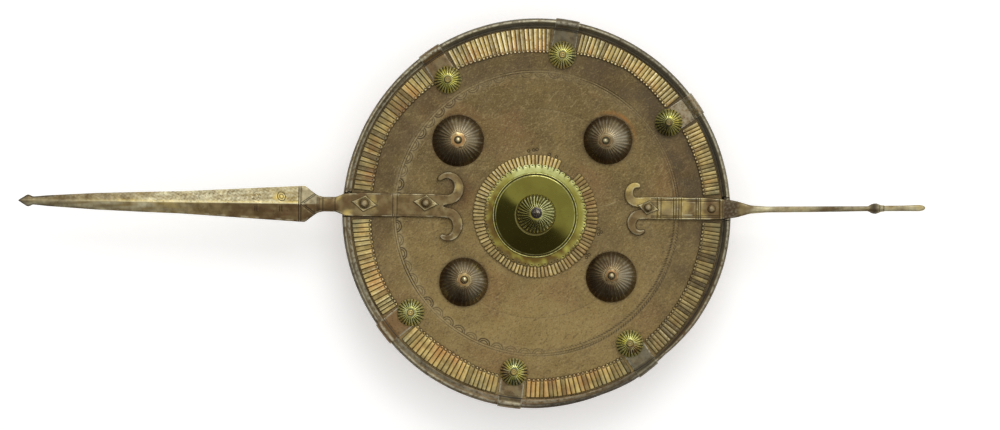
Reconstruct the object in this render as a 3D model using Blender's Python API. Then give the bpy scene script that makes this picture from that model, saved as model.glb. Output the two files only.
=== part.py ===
"""Parrying shield: a round leather shield with brass bosses, held between a dagger arm and a rod arm.

It lies face up on the two handles of its back. +Z is the front, the arms lie nearly along X with the
dagger at -X, and the origin is under the middle of the whole, on the surface that it lies on.
"""

import math
from collections import namedtuple

import bmesh
import bpy
from mathutils import Matrix, Vector

MM = 0.001
GAP = 0.3 * MM  # between pieces that touch

# Driving sizes. The shield's middle is at DISC_X, so that the whole is centred on the origin.
RIM_RADIUS = 180 * MM
DAGGER_REACH = 479.2 * MM  # from the shield's middle to the dagger's tip
ROD_REACH = 359.5 * MM  # and to the rod's end
DISC_X = (DAGGER_REACH - ROD_REACH) / 2
DISC_THICKNESS = 9 * MM
HANDLE_DROP = 46 * MM
BACK_Z = HANDLE_DROP
FACE_Z = BACK_Z + DISC_THICKNESS

# The two arms lie on one line, which passes a little above the middle and leans slightly.
ARM_OFFSET = 5.9 * MM
ARM_LEAN = math.radians(-0.72)
STRAP_HEIGHT = 3 * MM
DAGGER_STRAP_HALF = 11 * MM
ROD_STRAP_HALF = 10.5 * MM

# Rim: a bead bent over the leather's edge, thick on its outer side.
RIM_INNER = 171.7 * MM
RIM_LIP = 4.2 * MM  # how far it stands over the face
RIM_SLOT_RADIUS = 174.5 * MM  # how far out the leather's edge reaches inside the rim
RIM_SIDES = 48

# Fluted strips inside the rim, one between each two neighbouring clips or arms, from +X round by +Y.
# Each was cut and punched by hand, so they differ in the pitch of their flutes and in their width.
Strip = namedtuple("Strip", "pitch inner")
STRIPS = (
    Strip(math.radians(1.28), 154.3 * MM),
    Strip(math.radians(1.33), 154.0 * MM),
    Strip(math.radians(1.47), 149.5 * MM),
    Strip(math.radians(1.51), 153.5 * MM),
    Strip(math.radians(1.45), 153.0 * MM),
    Strip(math.radians(1.52), 151.0 * MM),
    Strip(math.radians(1.41), 153.0 * MM),
    Strip(math.radians(1.30), 153.6 * MM),
)
BAND_OUTER = 171.1 * MM
BAND_LOW = 0.6 * MM
BAND_HIGH = 1.7 * MM
BAND_TONGUE = 1.1 * MM  # how far the flutes' ends reach inward
BAND_CLEARANCE = 1.2 * MM  # between a strip and its neighbours

# Clips folded over the rim, each held by a small stud. Angles are counted from +X.
CLIP_ANGLES = tuple(math.radians(a) for a in (34.4, 80.7, 123.6, 218.3, 261.9, 305.6))
CLIP_HALF = 11 * MM
CLIP_THICKNESS = 1.1 * MM
CLIP_INNER = 144.5 * MM
STUD_CIRCLE = 148.3 * MM
STUD_RADIUS = 12.5 * MM
STUD_HEIGHT = 8 * MM
STUD_FLUTES = 24

# Rivets and bolts have square shanks, turned any way in square holes. These are half the diagonals.
SHANK = 1.8 * MM
HOLE = (SHANK + GAP) * math.sqrt(2)
PEEN_RADIUS = 4 * MM
PEEN_HEIGHT = 1.8 * MM

# Four dark bosses, set by hand and so not quite square, named as seen from the front.
BOSS_PLACES = {
    "upper_left": (-72.5 * MM, 67.1 * MM),
    "upper_right": (66.1 * MM, 67.7 * MM),
    "lower_left": (-67.4 * MM, -63.8 * MM),
    "lower_right": (69.1 * MM, -59.0 * MM),
}
BOSS_RADIUS = 22.7 * MM
BOSS_HEIGHT = 13 * MM
BOSS_FLUTES = 32

# The centre ornament: fluted rays, a petalled collar, a cone, a fluted bead and a spiked finial.
# The five lie on each other, each a little off the one below.
RAY_PLACE = (-1.0 * MM, -2.9 * MM)
COLLAR_PLACE = (-1.0 * MM, -2.0 * MM)
CONE_PLACE = (-1.3 * MM, -1.9 * MM)
BEAD_PLACE = (-0.6 * MM, -0.8 * MM)
FINIAL_PLACE = (-0.2 * MM, 0.2 * MM)
RAY_COUNT = 95
RAY_OUTER = 58 * MM
RAY_LOW = 0.6 * MM
RAY_HIGH = 1.6 * MM
RAYS_LOST = (math.radians(44), math.radians(62))  # where the rays have broken away
PETAL_COUNT = 48
COLLAR_OUTER = 47.6 * MM
COLLAR_INNER = 34 * MM
COLLAR_THICKNESS = 0.9 * MM
CONE_RADIUS = 39.5 * MM
CONE_HEIGHT = 14 * MM
CONE_HOLE = 5.5 * MM
BEAD_RADIUS = 18.6 * MM
BEAD_HEIGHT = 10 * MM
BEAD_FLUTES = 32
BEAD_HOLE = 3.6 * MM
FINIAL_RADIUS = 5.3 * MM
FINIAL_HEIGHT = 13 * MM

# Scrolls of the arms' forked ends, each part of an ellipse: its middle, its radii along and across
# the arm, the bar's half widths at its root and its tip, and the angle that it sweeps.
Scroll = namedtuple("Scroll", "reach lateral along across root tip sweep")
DAGGER_SCROLLS = (
    Scroll(82.4 * MM, 16.8 * MM, 10.5 * MM, 11.3 * MM, 4.8 * MM, 2.5 * MM, math.radians(225)),
    Scroll(82.4 * MM, -18.3 * MM, 9.7 * MM, 11.6 * MM, 5.1 * MM, 2.3 * MM, math.radians(208)),
)
ROD_SCROLLS = (
    Scroll(91.7 * MM, 13.3 * MM, 6.3 * MM, 7.8 * MM, 4.4 * MM, 2.4 * MM, math.radians(200)),
    Scroll(95.2 * MM, -14.5 * MM, 7.1 * MM, 8.2 * MM, 4.7 * MM, 2.0 * MM, math.radians(212)),
)

# Rivets of the arms: distance from the middle, offset across the arm, radius of the head, and the
# half sizes and the turn of the lozenge washer under it.
Rivet = namedtuple("Rivet", "reach lateral head washer turn")
DAGGER_RIVETS = (
    Rivet(159.3 * MM, 1.1 * MM, 4.4 * MM, (12.5 * MM, 7.9 * MM), math.radians(-8)),
    Rivet(102.5 * MM, 2.3 * MM, 4.2 * MM, (12.2 * MM, 7.7 * MM), math.radians(-6.3)),
)
ROD_RIVETS = (
    Rivet(103.2 * MM, 0.6 * MM, 3.8 * MM, (10.4 * MM, 7.0 * MM), math.radians(-12)),
    Rivet(162.0 * MM, 0.0, 2.9 * MM, None, 0.0),
)
WASHER_HEIGHT = 1.6 * MM

# Handles of the back: a leather-bound grip on the dagger's side and a flat strap for the forearm.
FOOT_HEIGHT = 3 * MM
FOOT_LENGTH = 9 * MM  # past the bolt
GRIP_RADIUS = 8 * MM
STRAP_BAND = (17 * MM, 2 * MM)  # half width and half thickness of the forearm strap

Station = namedtuple("Station", "point half_width half_height crown edge")


# ---------------------------------------------------------------- materials and scene


def clear_scene():
    for obj in list(bpy.data.objects):
        bpy.data.objects.remove(obj)


def make_material(name, colour, roughness, metallic):
    material = bpy.data.materials.new(name)
    material.use_nodes = True
    shader = material.node_tree.nodes["Principled BSDF"]
    shader.inputs["Base Color"].default_value = (*colour, 1.0)
    shader.inputs["Roughness"].default_value = roughness
    shader.inputs["Metallic"].default_value = metallic
    return material


def make_materials():
    return {
        "leather": make_material("leather", (0.20, 0.135, 0.07), 0.6, 0.0),
        "binding": make_material("binding", (0.10, 0.05, 0.03), 0.7, 0.0),
        "rim_iron": make_material("rim_iron", (0.11, 0.10, 0.075), 0.45, 0.9),
        "gilt_copper": make_material("gilt_copper", (0.55, 0.36, 0.15), 0.35, 1.0),
        "stud_brass": make_material("stud_brass", (0.52, 0.47, 0.13), 0.3, 1.0),
        "boss_brass": make_material("boss_brass", (0.36, 0.35, 0.12), 0.25, 1.0),
        "dark_iron": make_material("dark_iron", (0.09, 0.07, 0.05), 0.4, 0.9),
        "arm_iron": make_material("arm_iron", (0.27, 0.20, 0.11), 0.45, 0.9),
    }


def make_empty(name, location, parent=None, turn=0.0):
    empty = bpy.data.objects.new(name, None)
    bpy.context.scene.collection.objects.link(empty)
    empty.location = location
    empty.rotation_euler.z = turn
    empty.parent = parent
    return empty


def finish_mesh(bm, name):
    """Turns the closed bmesh into a mesh with its faces pointing out."""
    bmesh.ops.recalc_face_normals(bm, faces=bm.faces)
    if bm.calc_volume(signed=True) < 0:
        bmesh.ops.reverse_faces(bm, faces=bm.faces)
    mesh = bpy.data.meshes.new(name)
    bm.to_mesh(mesh)
    bm.free()
    return mesh


def add_object(name, mesh, material, parent, location=(0, 0, 0), turn=0.0, smooth=True):
    obj = bpy.data.objects.new(name, mesh)
    bpy.context.scene.collection.objects.link(obj)
    obj.parent = parent
    obj.location = location
    obj.rotation_euler.z = turn
    if material and not mesh.materials:
        mesh.materials.append(material)
    if smooth:
        mesh.shade_smooth()
        mesh.set_sharp_from_angle(angle=math.radians(35))
    return obj


def add_cutter(name, mesh, parent):
    """A helper that only cuts, and isn't a piece of the shield."""
    cutter = add_object(name, mesh, None, parent, smooth=False)
    cutter.hide_render = True
    cutter.display_type = "WIRE"
    return cutter


def boolean(obj, other, operation):
    modifier = obj.modifiers.new(operation.title(), "BOOLEAN")
    modifier.operation = operation
    modifier.solver = "EXACT"
    modifier.object = other


# ---------------------------------------------------------------- meshes


def circle(bm, radius, height, sides, groove=(0.0, 0.0), middle=(0.0, 0.0)):
    """Points round a circle, or the one point of a pole. A groove moves every second point in and down."""
    if radius == 0:
        return [bm.verts.new((middle[0], middle[1], height))]
    points = []
    for i in range(sides):
        angle = 2 * math.pi * i / sides
        r = radius - groove[0] * (i % 2)
        z = height - groove[1] * (i % 2)
        points.append(bm.verts.new((middle[0] + r * math.cos(angle), middle[1] + r * math.sin(angle), z)))
    return points


def join_rings(bm, a, b):
    """Closes the strip between two rings, which may differ in their number of points."""
    n, m = len(a), len(b)
    if n == m:
        for i in range(n):
            bm.faces.new((a[i], b[i], b[(i + 1) % n], a[(i + 1) % n]))
        return
    i = j = 0
    while i < n or j < m:
        if j >= m or (i < n and (i + 1) * m <= (j + 1) * n):
            if n > 1:
                bm.faces.new((a[i % n], b[j % m], a[(i + 1) % n]))
            i += 1
        else:
            if m > 1:
                bm.faces.new((a[i % n], b[j % m], b[(j + 1) % m]))
            j += 1


def join_rows(bm, a, b):
    """Closes the strip between two open rows of points."""
    n, m = len(a) - 1, len(b) - 1
    i = j = 0
    while i < n or j < m:
        if j >= m or (i < n and (i + 1) * m <= (j + 1) * n):
            bm.faces.new((a[i], b[j], a[i + 1]))
            i += 1
        else:
            bm.faces.new((a[i], b[j], b[j + 1]))
            j += 1


def turned_mesh(name, rings, closed=False):
    """A body turned on Z from (radius, height, sides[, groove]) rings. Closed joins the last to the first."""
    bm = bmesh.new()
    made = [circle(bm, *ring) for ring in rings]
    for a, b in zip(made, made[1:]):
        join_rings(bm, a, b)
    if closed:
        join_rings(bm, made[-1], made[0])
    else:
        for end in (made[0], made[-1]):
            if len(end) > 1:
                bm.faces.new(end)
    return finish_mesh(bm, name)


def holes_mesh(name, places, low, high):
    """Square pins, which cut the holes for shanks."""
    bm = bmesh.new()
    for place in places:
        ends = [circle(bm, HOLE, z, 4, middle=place) for z in (low, high)]
        join_rings(bm, *ends)
        for end in ends:
            bm.faces.new(end)
    return finish_mesh(bm, name)


def box_mesh(name, low, high):
    bm = bmesh.new()
    bmesh.ops.create_cube(bm, size=1.0)
    size = Vector(high) - Vector(low)
    middle = (Vector(high) + Vector(low)) / 2
    bm.transform(Matrix.Translation(middle) @ Matrix.Diagonal((*size, 1.0)))
    return finish_mesh(bm, name)


def section(bm, station, tangent, normal, flat):
    """The bar's outline across its tangent: eight corners, or six where its underside is flat."""
    across = normal.cross(tangent).normalized()
    w, h = station.half_width, station.half_height
    crown, edge = station.crown * w, station.edge * h
    over = [(w, edge), (crown, h), (-crown, h), (-w, edge)]
    under = [(-w, -h), (w, -h)] if flat else [(-w, -edge), (-crown, -h), (crown, -h), (w, -edge)]
    return [bm.verts.new(station.point + across * x + normal * z) for x, z in over + under]


def bar_mesh(name, stations, normal, flat=False):
    """A bar through the stations, whose path lies in the plane across the normal."""
    bm = bmesh.new()
    points = [s.point for s in stations]
    rings = []
    for i, station in enumerate(stations):
        tangent = points[min(i + 1, len(points) - 1)] - points[max(i - 1, 0)]
        tangent -= normal * tangent.dot(normal)
        rings.append(section(bm, station, tangent.normalized(), normal, flat))
    for a, b in zip(rings, rings[1:]):
        join_rings(bm, a, b)
    for end in (rings[0], rings[-1]):
        bm.faces.new(end)
    return finish_mesh(bm, name)


def offset_path(path, distance):
    """The path moved to its left by the distance, mitred at its corners. The path is in a plane."""
    moved = []
    for i, point in enumerate(path):
        before = (point - path[i - 1]).normalized() if i else None
        after = (path[i + 1] - point).normalized() if i + 1 < len(path) else None
        before, after = before or after, after or before
        left = (before + after).normalized().orthogonal()
        moved.append(point + left * distance / left.dot(before.orthogonal()))
    return moved


# ---------------------------------------------------------------- leather and rim


def on_circle(radius, angle):
    return (radius * math.cos(angle), radius * math.sin(angle))


def arm_point(reach, lateral, side):
    """The place on the face of a point of an arm, where side is -1 for the dagger and 1 for the rod."""
    turned = Matrix.Rotation(ARM_LEAN, 2) @ Vector((side * reach, lateral))
    return (turned.x, turned.y + ARM_OFFSET)


def bolt_places():
    """Every place where a rivet or a bolt passes through the leather."""
    studs = [on_circle(STUD_CIRCLE, a) for a in CLIP_ANGLES]
    dagger = [arm_point(r.reach, r.lateral, -1) for r in DAGGER_RIVETS]
    rod = [arm_point(r.reach, r.lateral, 1) for r in ROD_RIVETS]
    return [*studs, *dagger, *rod, *BOSS_PLACES.values(), FINIAL_PLACE]


def build_disc(material, shield):
    radius = RIM_SLOT_RADIUS - GAP
    rings = [(radius, BACK_Z, RIM_SIDES), (radius, FACE_Z, RIM_SIDES)]
    disc = add_object("leather_disc", turned_mesh("leather_disc", rings), material, shield)
    holes = holes_mesh("disc_holes", bolt_places(), BACK_Z - 5 * MM, FACE_Z + 5 * MM)
    boolean(disc, add_cutter("disc_holes", holes, shield), "DIFFERENCE")


def rim_profile():
    """(radius, height) of the rim's outer side, from its lip on the face to its lip on the back."""
    return [
        (RIM_INNER, FACE_Z + GAP),
        (RIM_INNER + 2.8 * MM, FACE_Z + RIM_LIP),
        (RIM_RADIUS - 1.1 * MM, FACE_Z + 0.85 * RIM_LIP),
        (RIM_RADIUS, BACK_Z + 1.5 * MM),
        (RIM_RADIUS - 2 * MM, BACK_Z - 1.6 * MM),
        (RIM_INNER + 0.5 * MM, BACK_Z - 1.6 * MM),
    ]


def build_rim(material, shield, arms):
    inside = [
        (RIM_INNER + 0.5 * MM, BACK_Z - GAP),
        (RIM_SLOT_RADIUS, BACK_Z - GAP),
        (RIM_SLOT_RADIUS, FACE_Z + GAP),
    ]
    rings = [(r, z, RIM_SIDES) for r, z in [*rim_profile(), *inside]]
    rim = add_object("rim", turned_mesh("rim", rings, closed=True), material, shield)
    for name, side, half in (("dagger", -1, DAGGER_STRAP_HALF), ("rod", 1, ROD_STRAP_HALF)):
        reach = sorted((side * (RIM_INNER - 20 * MM), side * (RIM_RADIUS + 20 * MM)))
        low = (reach[0], -half - 2 * GAP, FACE_Z)
        high = (reach[1], half + 2 * GAP, FACE_Z + 20 * MM)
        notch = add_cutter(f"{name}_notch", box_mesh(f"{name}_notch", low, high), arms)
        boolean(rim, notch, "DIFFERENCE")


# ---------------------------------------------------------------- fluted strip, clips and studs


def half_angle(half_width, radius):
    return math.asin(half_width / radius)


def band_spans():
    """(start, end) angles of the lengths of fluted strip, between the clips and the arms."""
    narrowest = min(strip.inner for strip in STRIPS)
    stops = [(a, half_angle(CLIP_HALF + BAND_CLEARANCE, narrowest)) for a in CLIP_ANGLES]
    for side, half in ((1, ROD_STRAP_HALF), (-1, DAGGER_STRAP_HALF)):
        x, y = arm_point((narrowest + BAND_OUTER) / 2, 0, side)
        stops.append((math.atan2(y, x) % (2 * math.pi), half_angle(half + BAND_CLEARANCE, narrowest)))
    stops.sort()
    following = stops[1:] + [(stops[0][0] + 2 * math.pi, stops[0][1])]
    return [(a + half, b - next_half) for (a, half), (b, next_half) in zip(stops, following)]


def arc(bm, radius, height, start, end, steps):
    """Points along an arc. Radius and height are those of its even points, or pairs for even and odd ones."""
    points = []
    for i in range(steps + 1):
        r, z = (v[i % 2] if isinstance(v, tuple) else v for v in (radius, height))
        points.append(bm.verts.new((*on_circle(r, start + (end - start) * i / steps), z)))
    return points


def band_mesh(name, start, end, strip):
    """A strip with radial grooves between its flutes, whose ends are a row of tongues."""
    bm = bmesh.new()
    flutes = round((end - start) / strip.pitch)
    foot = strip.inner + BAND_TONGUE
    low, high = GAP + BAND_LOW, GAP + BAND_HIGH
    rows = [
        arc(bm, (foot, strip.inner), (low, high), start, end, 2 * flutes),
        arc(bm, BAND_OUTER, high, start, end, flutes),
        arc(bm, BAND_OUTER, GAP, start, end, 6),
        arc(bm, foot, GAP, start, end, 6),
    ]
    for a, b in zip(rows, rows[1:] + rows[:1]):
        join_rows(bm, a, b)
    for i in (0, -1):
        bm.faces.new([row[i] for row in rows])
    return finish_mesh(bm, name)


def build_bands(material, shield):
    for number, ((start, end), strip) in enumerate(zip(band_spans(), STRIPS), 1):
        name = f"fluted_strip_{number}"
        mesh = band_mesh(name, start, end, strip)
        add_object(name, mesh, material, shield, (0, 0, FACE_Z))


def clip_mesh():
    """A strip folded over the rim, along +X from the shield's middle."""
    lip = rim_profile()
    spread = 0.95 * MM  # the straight strip crosses a curved lip
    crest, shoulder, side, heel = lip[1:5]
    path = [
        (CLIP_INNER, FACE_Z + GAP),
        (lip[0][0] - spread, FACE_Z + GAP),
        (crest[0] - spread, crest[1] + GAP),
        (shoulder[0] + GAP, shoulder[1] + GAP),
        (side[0] + GAP, side[1]),
        (heel[0], heel[1] - GAP),
        (RIM_INNER - spread, heel[1] - GAP),
        (RIM_INNER - 3 * MM, BACK_Z - GAP),
        (CLIP_INNER, BACK_Z - GAP),
    ]
    near = [Vector(p) for p in path]
    far = offset_path(near, CLIP_THICKNESS)
    bm = bmesh.new()
    ends = [
        [bm.verts.new((p.x, y, p.y)) for p in [*near, *reversed(far)]]
        for y in (-CLIP_HALF, CLIP_HALF)
    ]
    join_rings(bm, *ends)
    count = len(near)
    for end in ends:
        for i in range(count - 1):
            bm.faces.new((end[i], end[i + 1], end[-2 - i], end[-1 - i]))
    return finish_mesh(bm, "rim_clip")


def shank_rings(top, bottom, peen=PEEN_RADIUS):
    """A square shank down to the peened end that holds it behind the leather."""
    return [
        (SHANK, top, 4),
        (SHANK, bottom, 4),
        (peen, bottom, 6),
        (0.6 * peen, bottom - PEEN_HEIGHT, 6),
    ]


def stud_mesh():
    """A fluted dome with a knob, on a shank that is peened behind the leather and the clip."""
    base = FACE_Z + GAP + CLIP_THICKNESS + GAP
    crown = base + STUD_HEIGHT
    rings = [
        (0, crown, 1),
        (0.22 * STUD_RADIUS, crown - 0.6 * MM, 6),
        (0.24 * STUD_RADIUS, crown - 1.8 * MM, 6),
        (0.70 * STUD_RADIUS, base + 0.56 * STUD_HEIGHT, STUD_FLUTES),
        (STUD_RADIUS, base, 2 * STUD_FLUTES, (0.9 * MM, 0.0)),
        *shank_rings(base, BACK_Z - 2 * GAP - CLIP_THICKNESS),
    ]
    return turned_mesh("stud", rings)


def build_clips(materials, shield):
    clip, stud = clip_mesh(), stud_mesh()
    hole = holes_mesh("clip_hole", [(STUD_CIRCLE, 0)], BACK_Z - 5 * MM, FACE_Z + 5 * MM)
    for number, angle in enumerate(CLIP_ANGLES, 1):
        piece = add_object(f"rim_clip_{number}", clip, materials["rim_iron"], shield, turn=angle)
        cutter = add_cutter(f"clip_hole_{number}", hole, shield)
        cutter.rotation_euler.z = angle
        boolean(piece, cutter, "DIFFERENCE")
        place = (*on_circle(STUD_CIRCLE, angle), 0)
        add_object(f"brass_stud_{number}", stud, materials["stud_brass"], shield, place, angle)


# ---------------------------------------------------------------- bosses and centre


def boss_mesh():
    """A fluted dome with a hole through it for its bolt."""
    rings = [
        (HOLE, BOSS_HEIGHT, 4),
        (0.34 * BOSS_RADIUS, BOSS_HEIGHT - 0.6 * MM, 12),
        (0.74 * BOSS_RADIUS, 0.62 * BOSS_HEIGHT, BOSS_FLUTES),
        (BOSS_RADIUS, 0, 2 * BOSS_FLUTES, (0.9 * MM, 0.0)),
        (HOLE, 0, 4),
    ]
    return turned_mesh("boss", rings, closed=True)


def boss_bolt_mesh():
    """Washer and ball head over the boss, and a shank through the leather and a handle's foot."""
    seat = FACE_Z + GAP + BOSS_HEIGHT + GAP
    foot = BACK_Z - 2 * GAP - FOOT_HEIGHT
    rings = [
        (0, seat + 6.4 * MM, 1),
        (2.1 * MM, seat + 5.6 * MM, 6),
        (3.1 * MM, seat + 3.4 * MM, 6),
        (2.2 * MM, seat + 1.8 * MM, 6),
        (6.9 * MM, seat + 0.9 * MM, 12),
        (6.7 * MM, seat, 12),
        *shank_rings(seat, foot, 1.2 * PEEN_RADIUS),
    ]
    return turned_mesh("boss_bolt", rings)


def build_bosses(materials, shield):
    boss, bolt = boss_mesh(), boss_bolt_mesh()
    for name, (x, y) in BOSS_PLACES.items():
        add_object(f"boss_{name}", boss, materials["dark_iron"], shield, (x, y, FACE_Z + GAP))
        add_object(f"boss_bolt_{name}", bolt, materials["stud_brass"], shield, (x, y, 0))


def ray_tips(bm):
    """The rays' outer ends, with a low groove between each two, and only a stub where they are lost."""
    points = []
    for i in range(2 * RAY_COUNT):
        angle = math.pi * i / RAY_COUNT
        lost = RAYS_LOST[0] < angle < RAYS_LOST[1]
        radius = COLLAR_OUTER + 2 * MM if lost else RAY_OUTER
        height = RAY_LOW if lost or i % 2 else RAY_HIGH
        points.append(bm.verts.new((*on_circle(radius - 1 * MM * (i % 2), angle), height)))
    return points


def ray_mesh():
    """A thin ring whose outer part is raised in radial flutes."""
    bm = bmesh.new()
    rings = [
        circle(bm, COLLAR_INNER, 0, 16),
        circle(bm, COLLAR_INNER, RAY_LOW, 16),
        circle(bm, COLLAR_OUTER - 3 * MM, RAY_HIGH, RAY_COUNT),
        ray_tips(bm),
        circle(bm, COLLAR_OUTER, 0, 16),
    ]
    for a, b in zip(rings, rings[1:] + rings[:1]):
        join_rings(bm, a, b)
    return finish_mesh(bm, "ray_ring")


def collar_mesh():
    """A thin ring with a row of petals at its edge."""
    rings = [
        (COLLAR_INNER, 0, 16),
        (COLLAR_INNER, COLLAR_THICKNESS, 16),
        (COLLAR_OUTER, COLLAR_THICKNESS, 2 * PETAL_COUNT, (1.5 * MM, 0.0)),
        (COLLAR_OUTER - 2 * MM, 0, 16),
    ]
    return turned_mesh("petal_collar", rings, closed=True)


def cone_mesh():
    """A cone with a rolled edge and a flat top for the bead."""
    sides = 32
    rings = [
        (CONE_HOLE, CONE_HEIGHT, 8),
        (BEAD_RADIUS + 1 * MM, CONE_HEIGHT, sides),
        (CONE_RADIUS - 2.4 * MM, 2.0 * MM, sides),
        (CONE_RADIUS - 0.7 * MM, 2.0 * MM, sides),
        (CONE_RADIUS, 0, sides),
        (CONE_HOLE, 0, 8),
    ]
    return turned_mesh("boss_cone", rings, closed=True)


def bead_mesh():
    rings = [
        (BEAD_HOLE, BEAD_HEIGHT, 8),
        (0.36 * BEAD_RADIUS, BEAD_HEIGHT - 0.6 * MM, 12),
        (0.78 * BEAD_RADIUS, 0.62 * BEAD_HEIGHT, BEAD_FLUTES),
        (BEAD_RADIUS, 0, 2 * BEAD_FLUTES, (1.0 * MM, 0.0)),
        (BEAD_HOLE, 0, 8),
    ]
    return turned_mesh("fluted_bead", rings, closed=True)


def finial_mesh(seat):
    """A low knop with a four-sided spike, on a shank through the bead, the cone and the leather."""
    rings = [
        (0, seat + FINIAL_HEIGHT, 1),
        (0.3 * FINIAL_RADIUS, seat + 0.6 * FINIAL_HEIGHT, 4),
        (0.62 * FINIAL_RADIUS, seat + 0.25 * FINIAL_HEIGHT, 8),
        (FINIAL_RADIUS, seat + 0.14 * FINIAL_HEIGHT, 12),
        (FINIAL_RADIUS, seat, 12),
        *shank_rings(seat, BACK_Z - GAP, 1.5 * PEEN_RADIUS),
    ]
    return turned_mesh("finial", rings)


def build_centre(materials, shield):
    layers = (
        ("ray_ring", ray_mesh(), "gilt_copper", RAY_PLACE, RAY_HIGH),
        ("petal_collar", collar_mesh(), "boss_brass", COLLAR_PLACE, COLLAR_THICKNESS),
        ("boss_cone", cone_mesh(), "boss_brass", CONE_PLACE, CONE_HEIGHT),
        ("fluted_bead", bead_mesh(), "boss_brass", BEAD_PLACE, BEAD_HEIGHT),
    )
    height = FACE_Z + GAP
    for name, mesh, material, place, thickness in layers:
        add_object(name, mesh, materials[material], shield, (*place, height))
        height += thickness + GAP
    add_object("finial", finial_mesh(height), materials["arm_iron"], shield, (*FINIAL_PLACE, 0))


# ---------------------------------------------------------------- arms


def arm_stations(side, rows):
    """Stations along an arm from rows in millimetres: reach, bow, middle height, half sizes, crown, edge."""
    return [
        Station(Vector((side * reach, bow, height)) * MM, width * MM, depth * MM, crown, edge)
        for reach, bow, height, width, depth, crown, edge in rows
    ]


def rod_bow(reach):
    """The rod bends a little to +Y on its way out, in millimetres."""
    start, end = 200.0, ROD_REACH / MM
    return 3.4 * max(0.0, (reach - start) / (end - start)) ** 1.2


def scroll_stations(scroll, side):
    """A flat bar from inside the fork's strap, round the scroll to its tip."""
    outward = math.copysign(1.0, scroll.lateral)
    start = scroll.lateral - outward * scroll.across
    path = [(scroll.reach + 16 * MM, 0.9 * start)]
    steps = 8
    for i in range(steps + 1):
        angle = -math.pi / 2 - scroll.sweep * i / steps
        along = scroll.reach + scroll.along * math.cos(angle)
        path.append((along, scroll.lateral + outward * scroll.across * math.sin(angle)))
    stations = []
    for i, (reach, lateral) in enumerate(path):
        share = i / (len(path) - 1)
        width = scroll.root + (scroll.tip - scroll.root) * max(0.0, share - 0.45) / 0.55
        point = Vector((side * reach, lateral, STRAP_HEIGHT / 2))
        stations.append(Station(point, width, STRAP_HEIGHT / 2 - 0.2 * MM, 0.78, 0.4))
    return stations


def add_arm(name, side, stations, scrolls, rivets, material, arms):
    up = Vector((0, 0, 1))
    place = (0, 0, FACE_Z + GAP)
    arm = add_object(name, bar_mesh(name, stations, up), material, arms, place)
    for number, scroll in enumerate(scrolls, 1):
        mesh = bar_mesh(f"{name}_scroll_{number}", scroll_stations(scroll, side), up, flat=True)
        cutter = add_cutter(f"{name}_scroll_{number}", mesh, arms)
        cutter.location = place
        boolean(arm, cutter, "UNION")
    places = [(side * r.reach, r.lateral) for r in rivets]
    holes = holes_mesh(f"{name}_holes", places, FACE_Z - 5 * MM, FACE_Z + 10 * MM)
    boolean(arm, add_cutter(f"{name}_holes", holes, arms), "DIFFERENCE")


def build_dagger_arm(material, arms):
    """Flat strap on the face, round neck at the rim, then a blade of diamond section with a barbed tip."""
    blade = 1.5  # height of the blade's middle
    rows = [
        (88.0, 0, 1.5, 10.0, 1.5, 0.90, 0.6),
        (96.0, 0, 1.5, 11.0, 1.5, 0.92, 0.6),
        (170.0, 0, 1.5, 11.0, 1.5, 0.92, 0.6),
        (177.0, 0, 1.7, 10.6, 1.7, 0.86, 0.5),
        (181.0, 0, 1.8, 8.8, 1.8, 0.70, 0.5),
        (185.5, 0, blade, 6.9, 3.4, 0.50, 0.45),
        (197.0, 0, blade, 6.8, 3.5, 0.50, 0.45),
        (202.0, 0, blade, 7.9, 3.4, 0.40, 0.4),
        (208.0, 0, blade, 12.0, 3.2, 0.18, 0.25),
        (213.8, 0, blade, 16.7, 3.1, 0.05, 0.14),
        (217.0, 0, blade, 16.7, 3.1, 0.04, 0.12),
        (330.0, 0, blade, 10.3, 2.8, 0.05, 0.14),
        (367.0, 0, blade, 9.2, 2.6, 0.06, 0.16),
        (407.0, 0, blade, 7.7, 2.4, 0.08, 0.2),
        (452.0, 0, blade, 5.0, 2.1, 0.14, 0.3),
        (466.0, 0, blade, 3.7, 2.0, 0.30, 0.4),
        (468.0, 0, blade, 5.0, 2.3, 0.20, 0.4),
        (470.7, 0, blade, 5.7, 2.5, 0.12, 0.35),
        (DAGGER_REACH / MM, 0, blade, 0.4, 0.4, 0.4, 0.4),
    ]
    add_arm("dagger_arm", -1, arm_stations(-1, rows), DAGGER_SCROLLS, DAGGER_RIVETS, material, arms)


def build_rod_arm(material, arms):
    """Flat strap on the face, then a bar set on edge with a knob near its rounded end."""
    rows = [
        (97.0, 0, 1.5, 9.6, 1.5, 0.90, 0.6),
        (102.0, 0, 1.5, 10.5, 1.5, 0.92, 0.6),
        (160.0, 0, 1.5, 10.3, 1.5, 0.92, 0.6),
        (172.4, 0, 1.6, 9.3, 1.6, 0.88, 0.6),
        (181.0, 0, 1.7, 8.3, 1.7, 0.85, 0.5),
        (186.0, 0, 1.5, 7.3, 2.4, 0.75, 0.5),
        (198.0, 0, 1.5, 3.9, 3.9, 0.60, 0.6),
        (213.0, 0, 1.5, 2.8, 4.2, 0.55, 0.7),
    ]
    bar = [
        (240.0, 2.75, 3.9),
        (275.0, 2.6, 3.5),
        (306.5, 2.3, 3.1),
        (307.5, 2.9, 3.4),
        (310.0, 4.4, 4.4),
        (313.7, 5.0, 5.0),
        (316.6, 4.2, 4.2),
        (317.6, 3.2, 3.4),
        (320.6, 3.2, 3.4),
        (321.2, 2.6, 2.8),
        (338.0, 2.6, 2.4),
        (354.0, 3.0, 2.0),
        (358.0, 2.2, 1.7),
        (ROD_REACH / MM, 0.8, 1.0),
    ]
    rows += [(reach, rod_bow(reach), 1.5, width, depth, 0.55, 0.6) for reach, width, depth in bar]
    add_arm("rod_arm", 1, arm_stations(1, rows), ROD_SCROLLS, ROD_RIVETS, material, arms)


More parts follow.
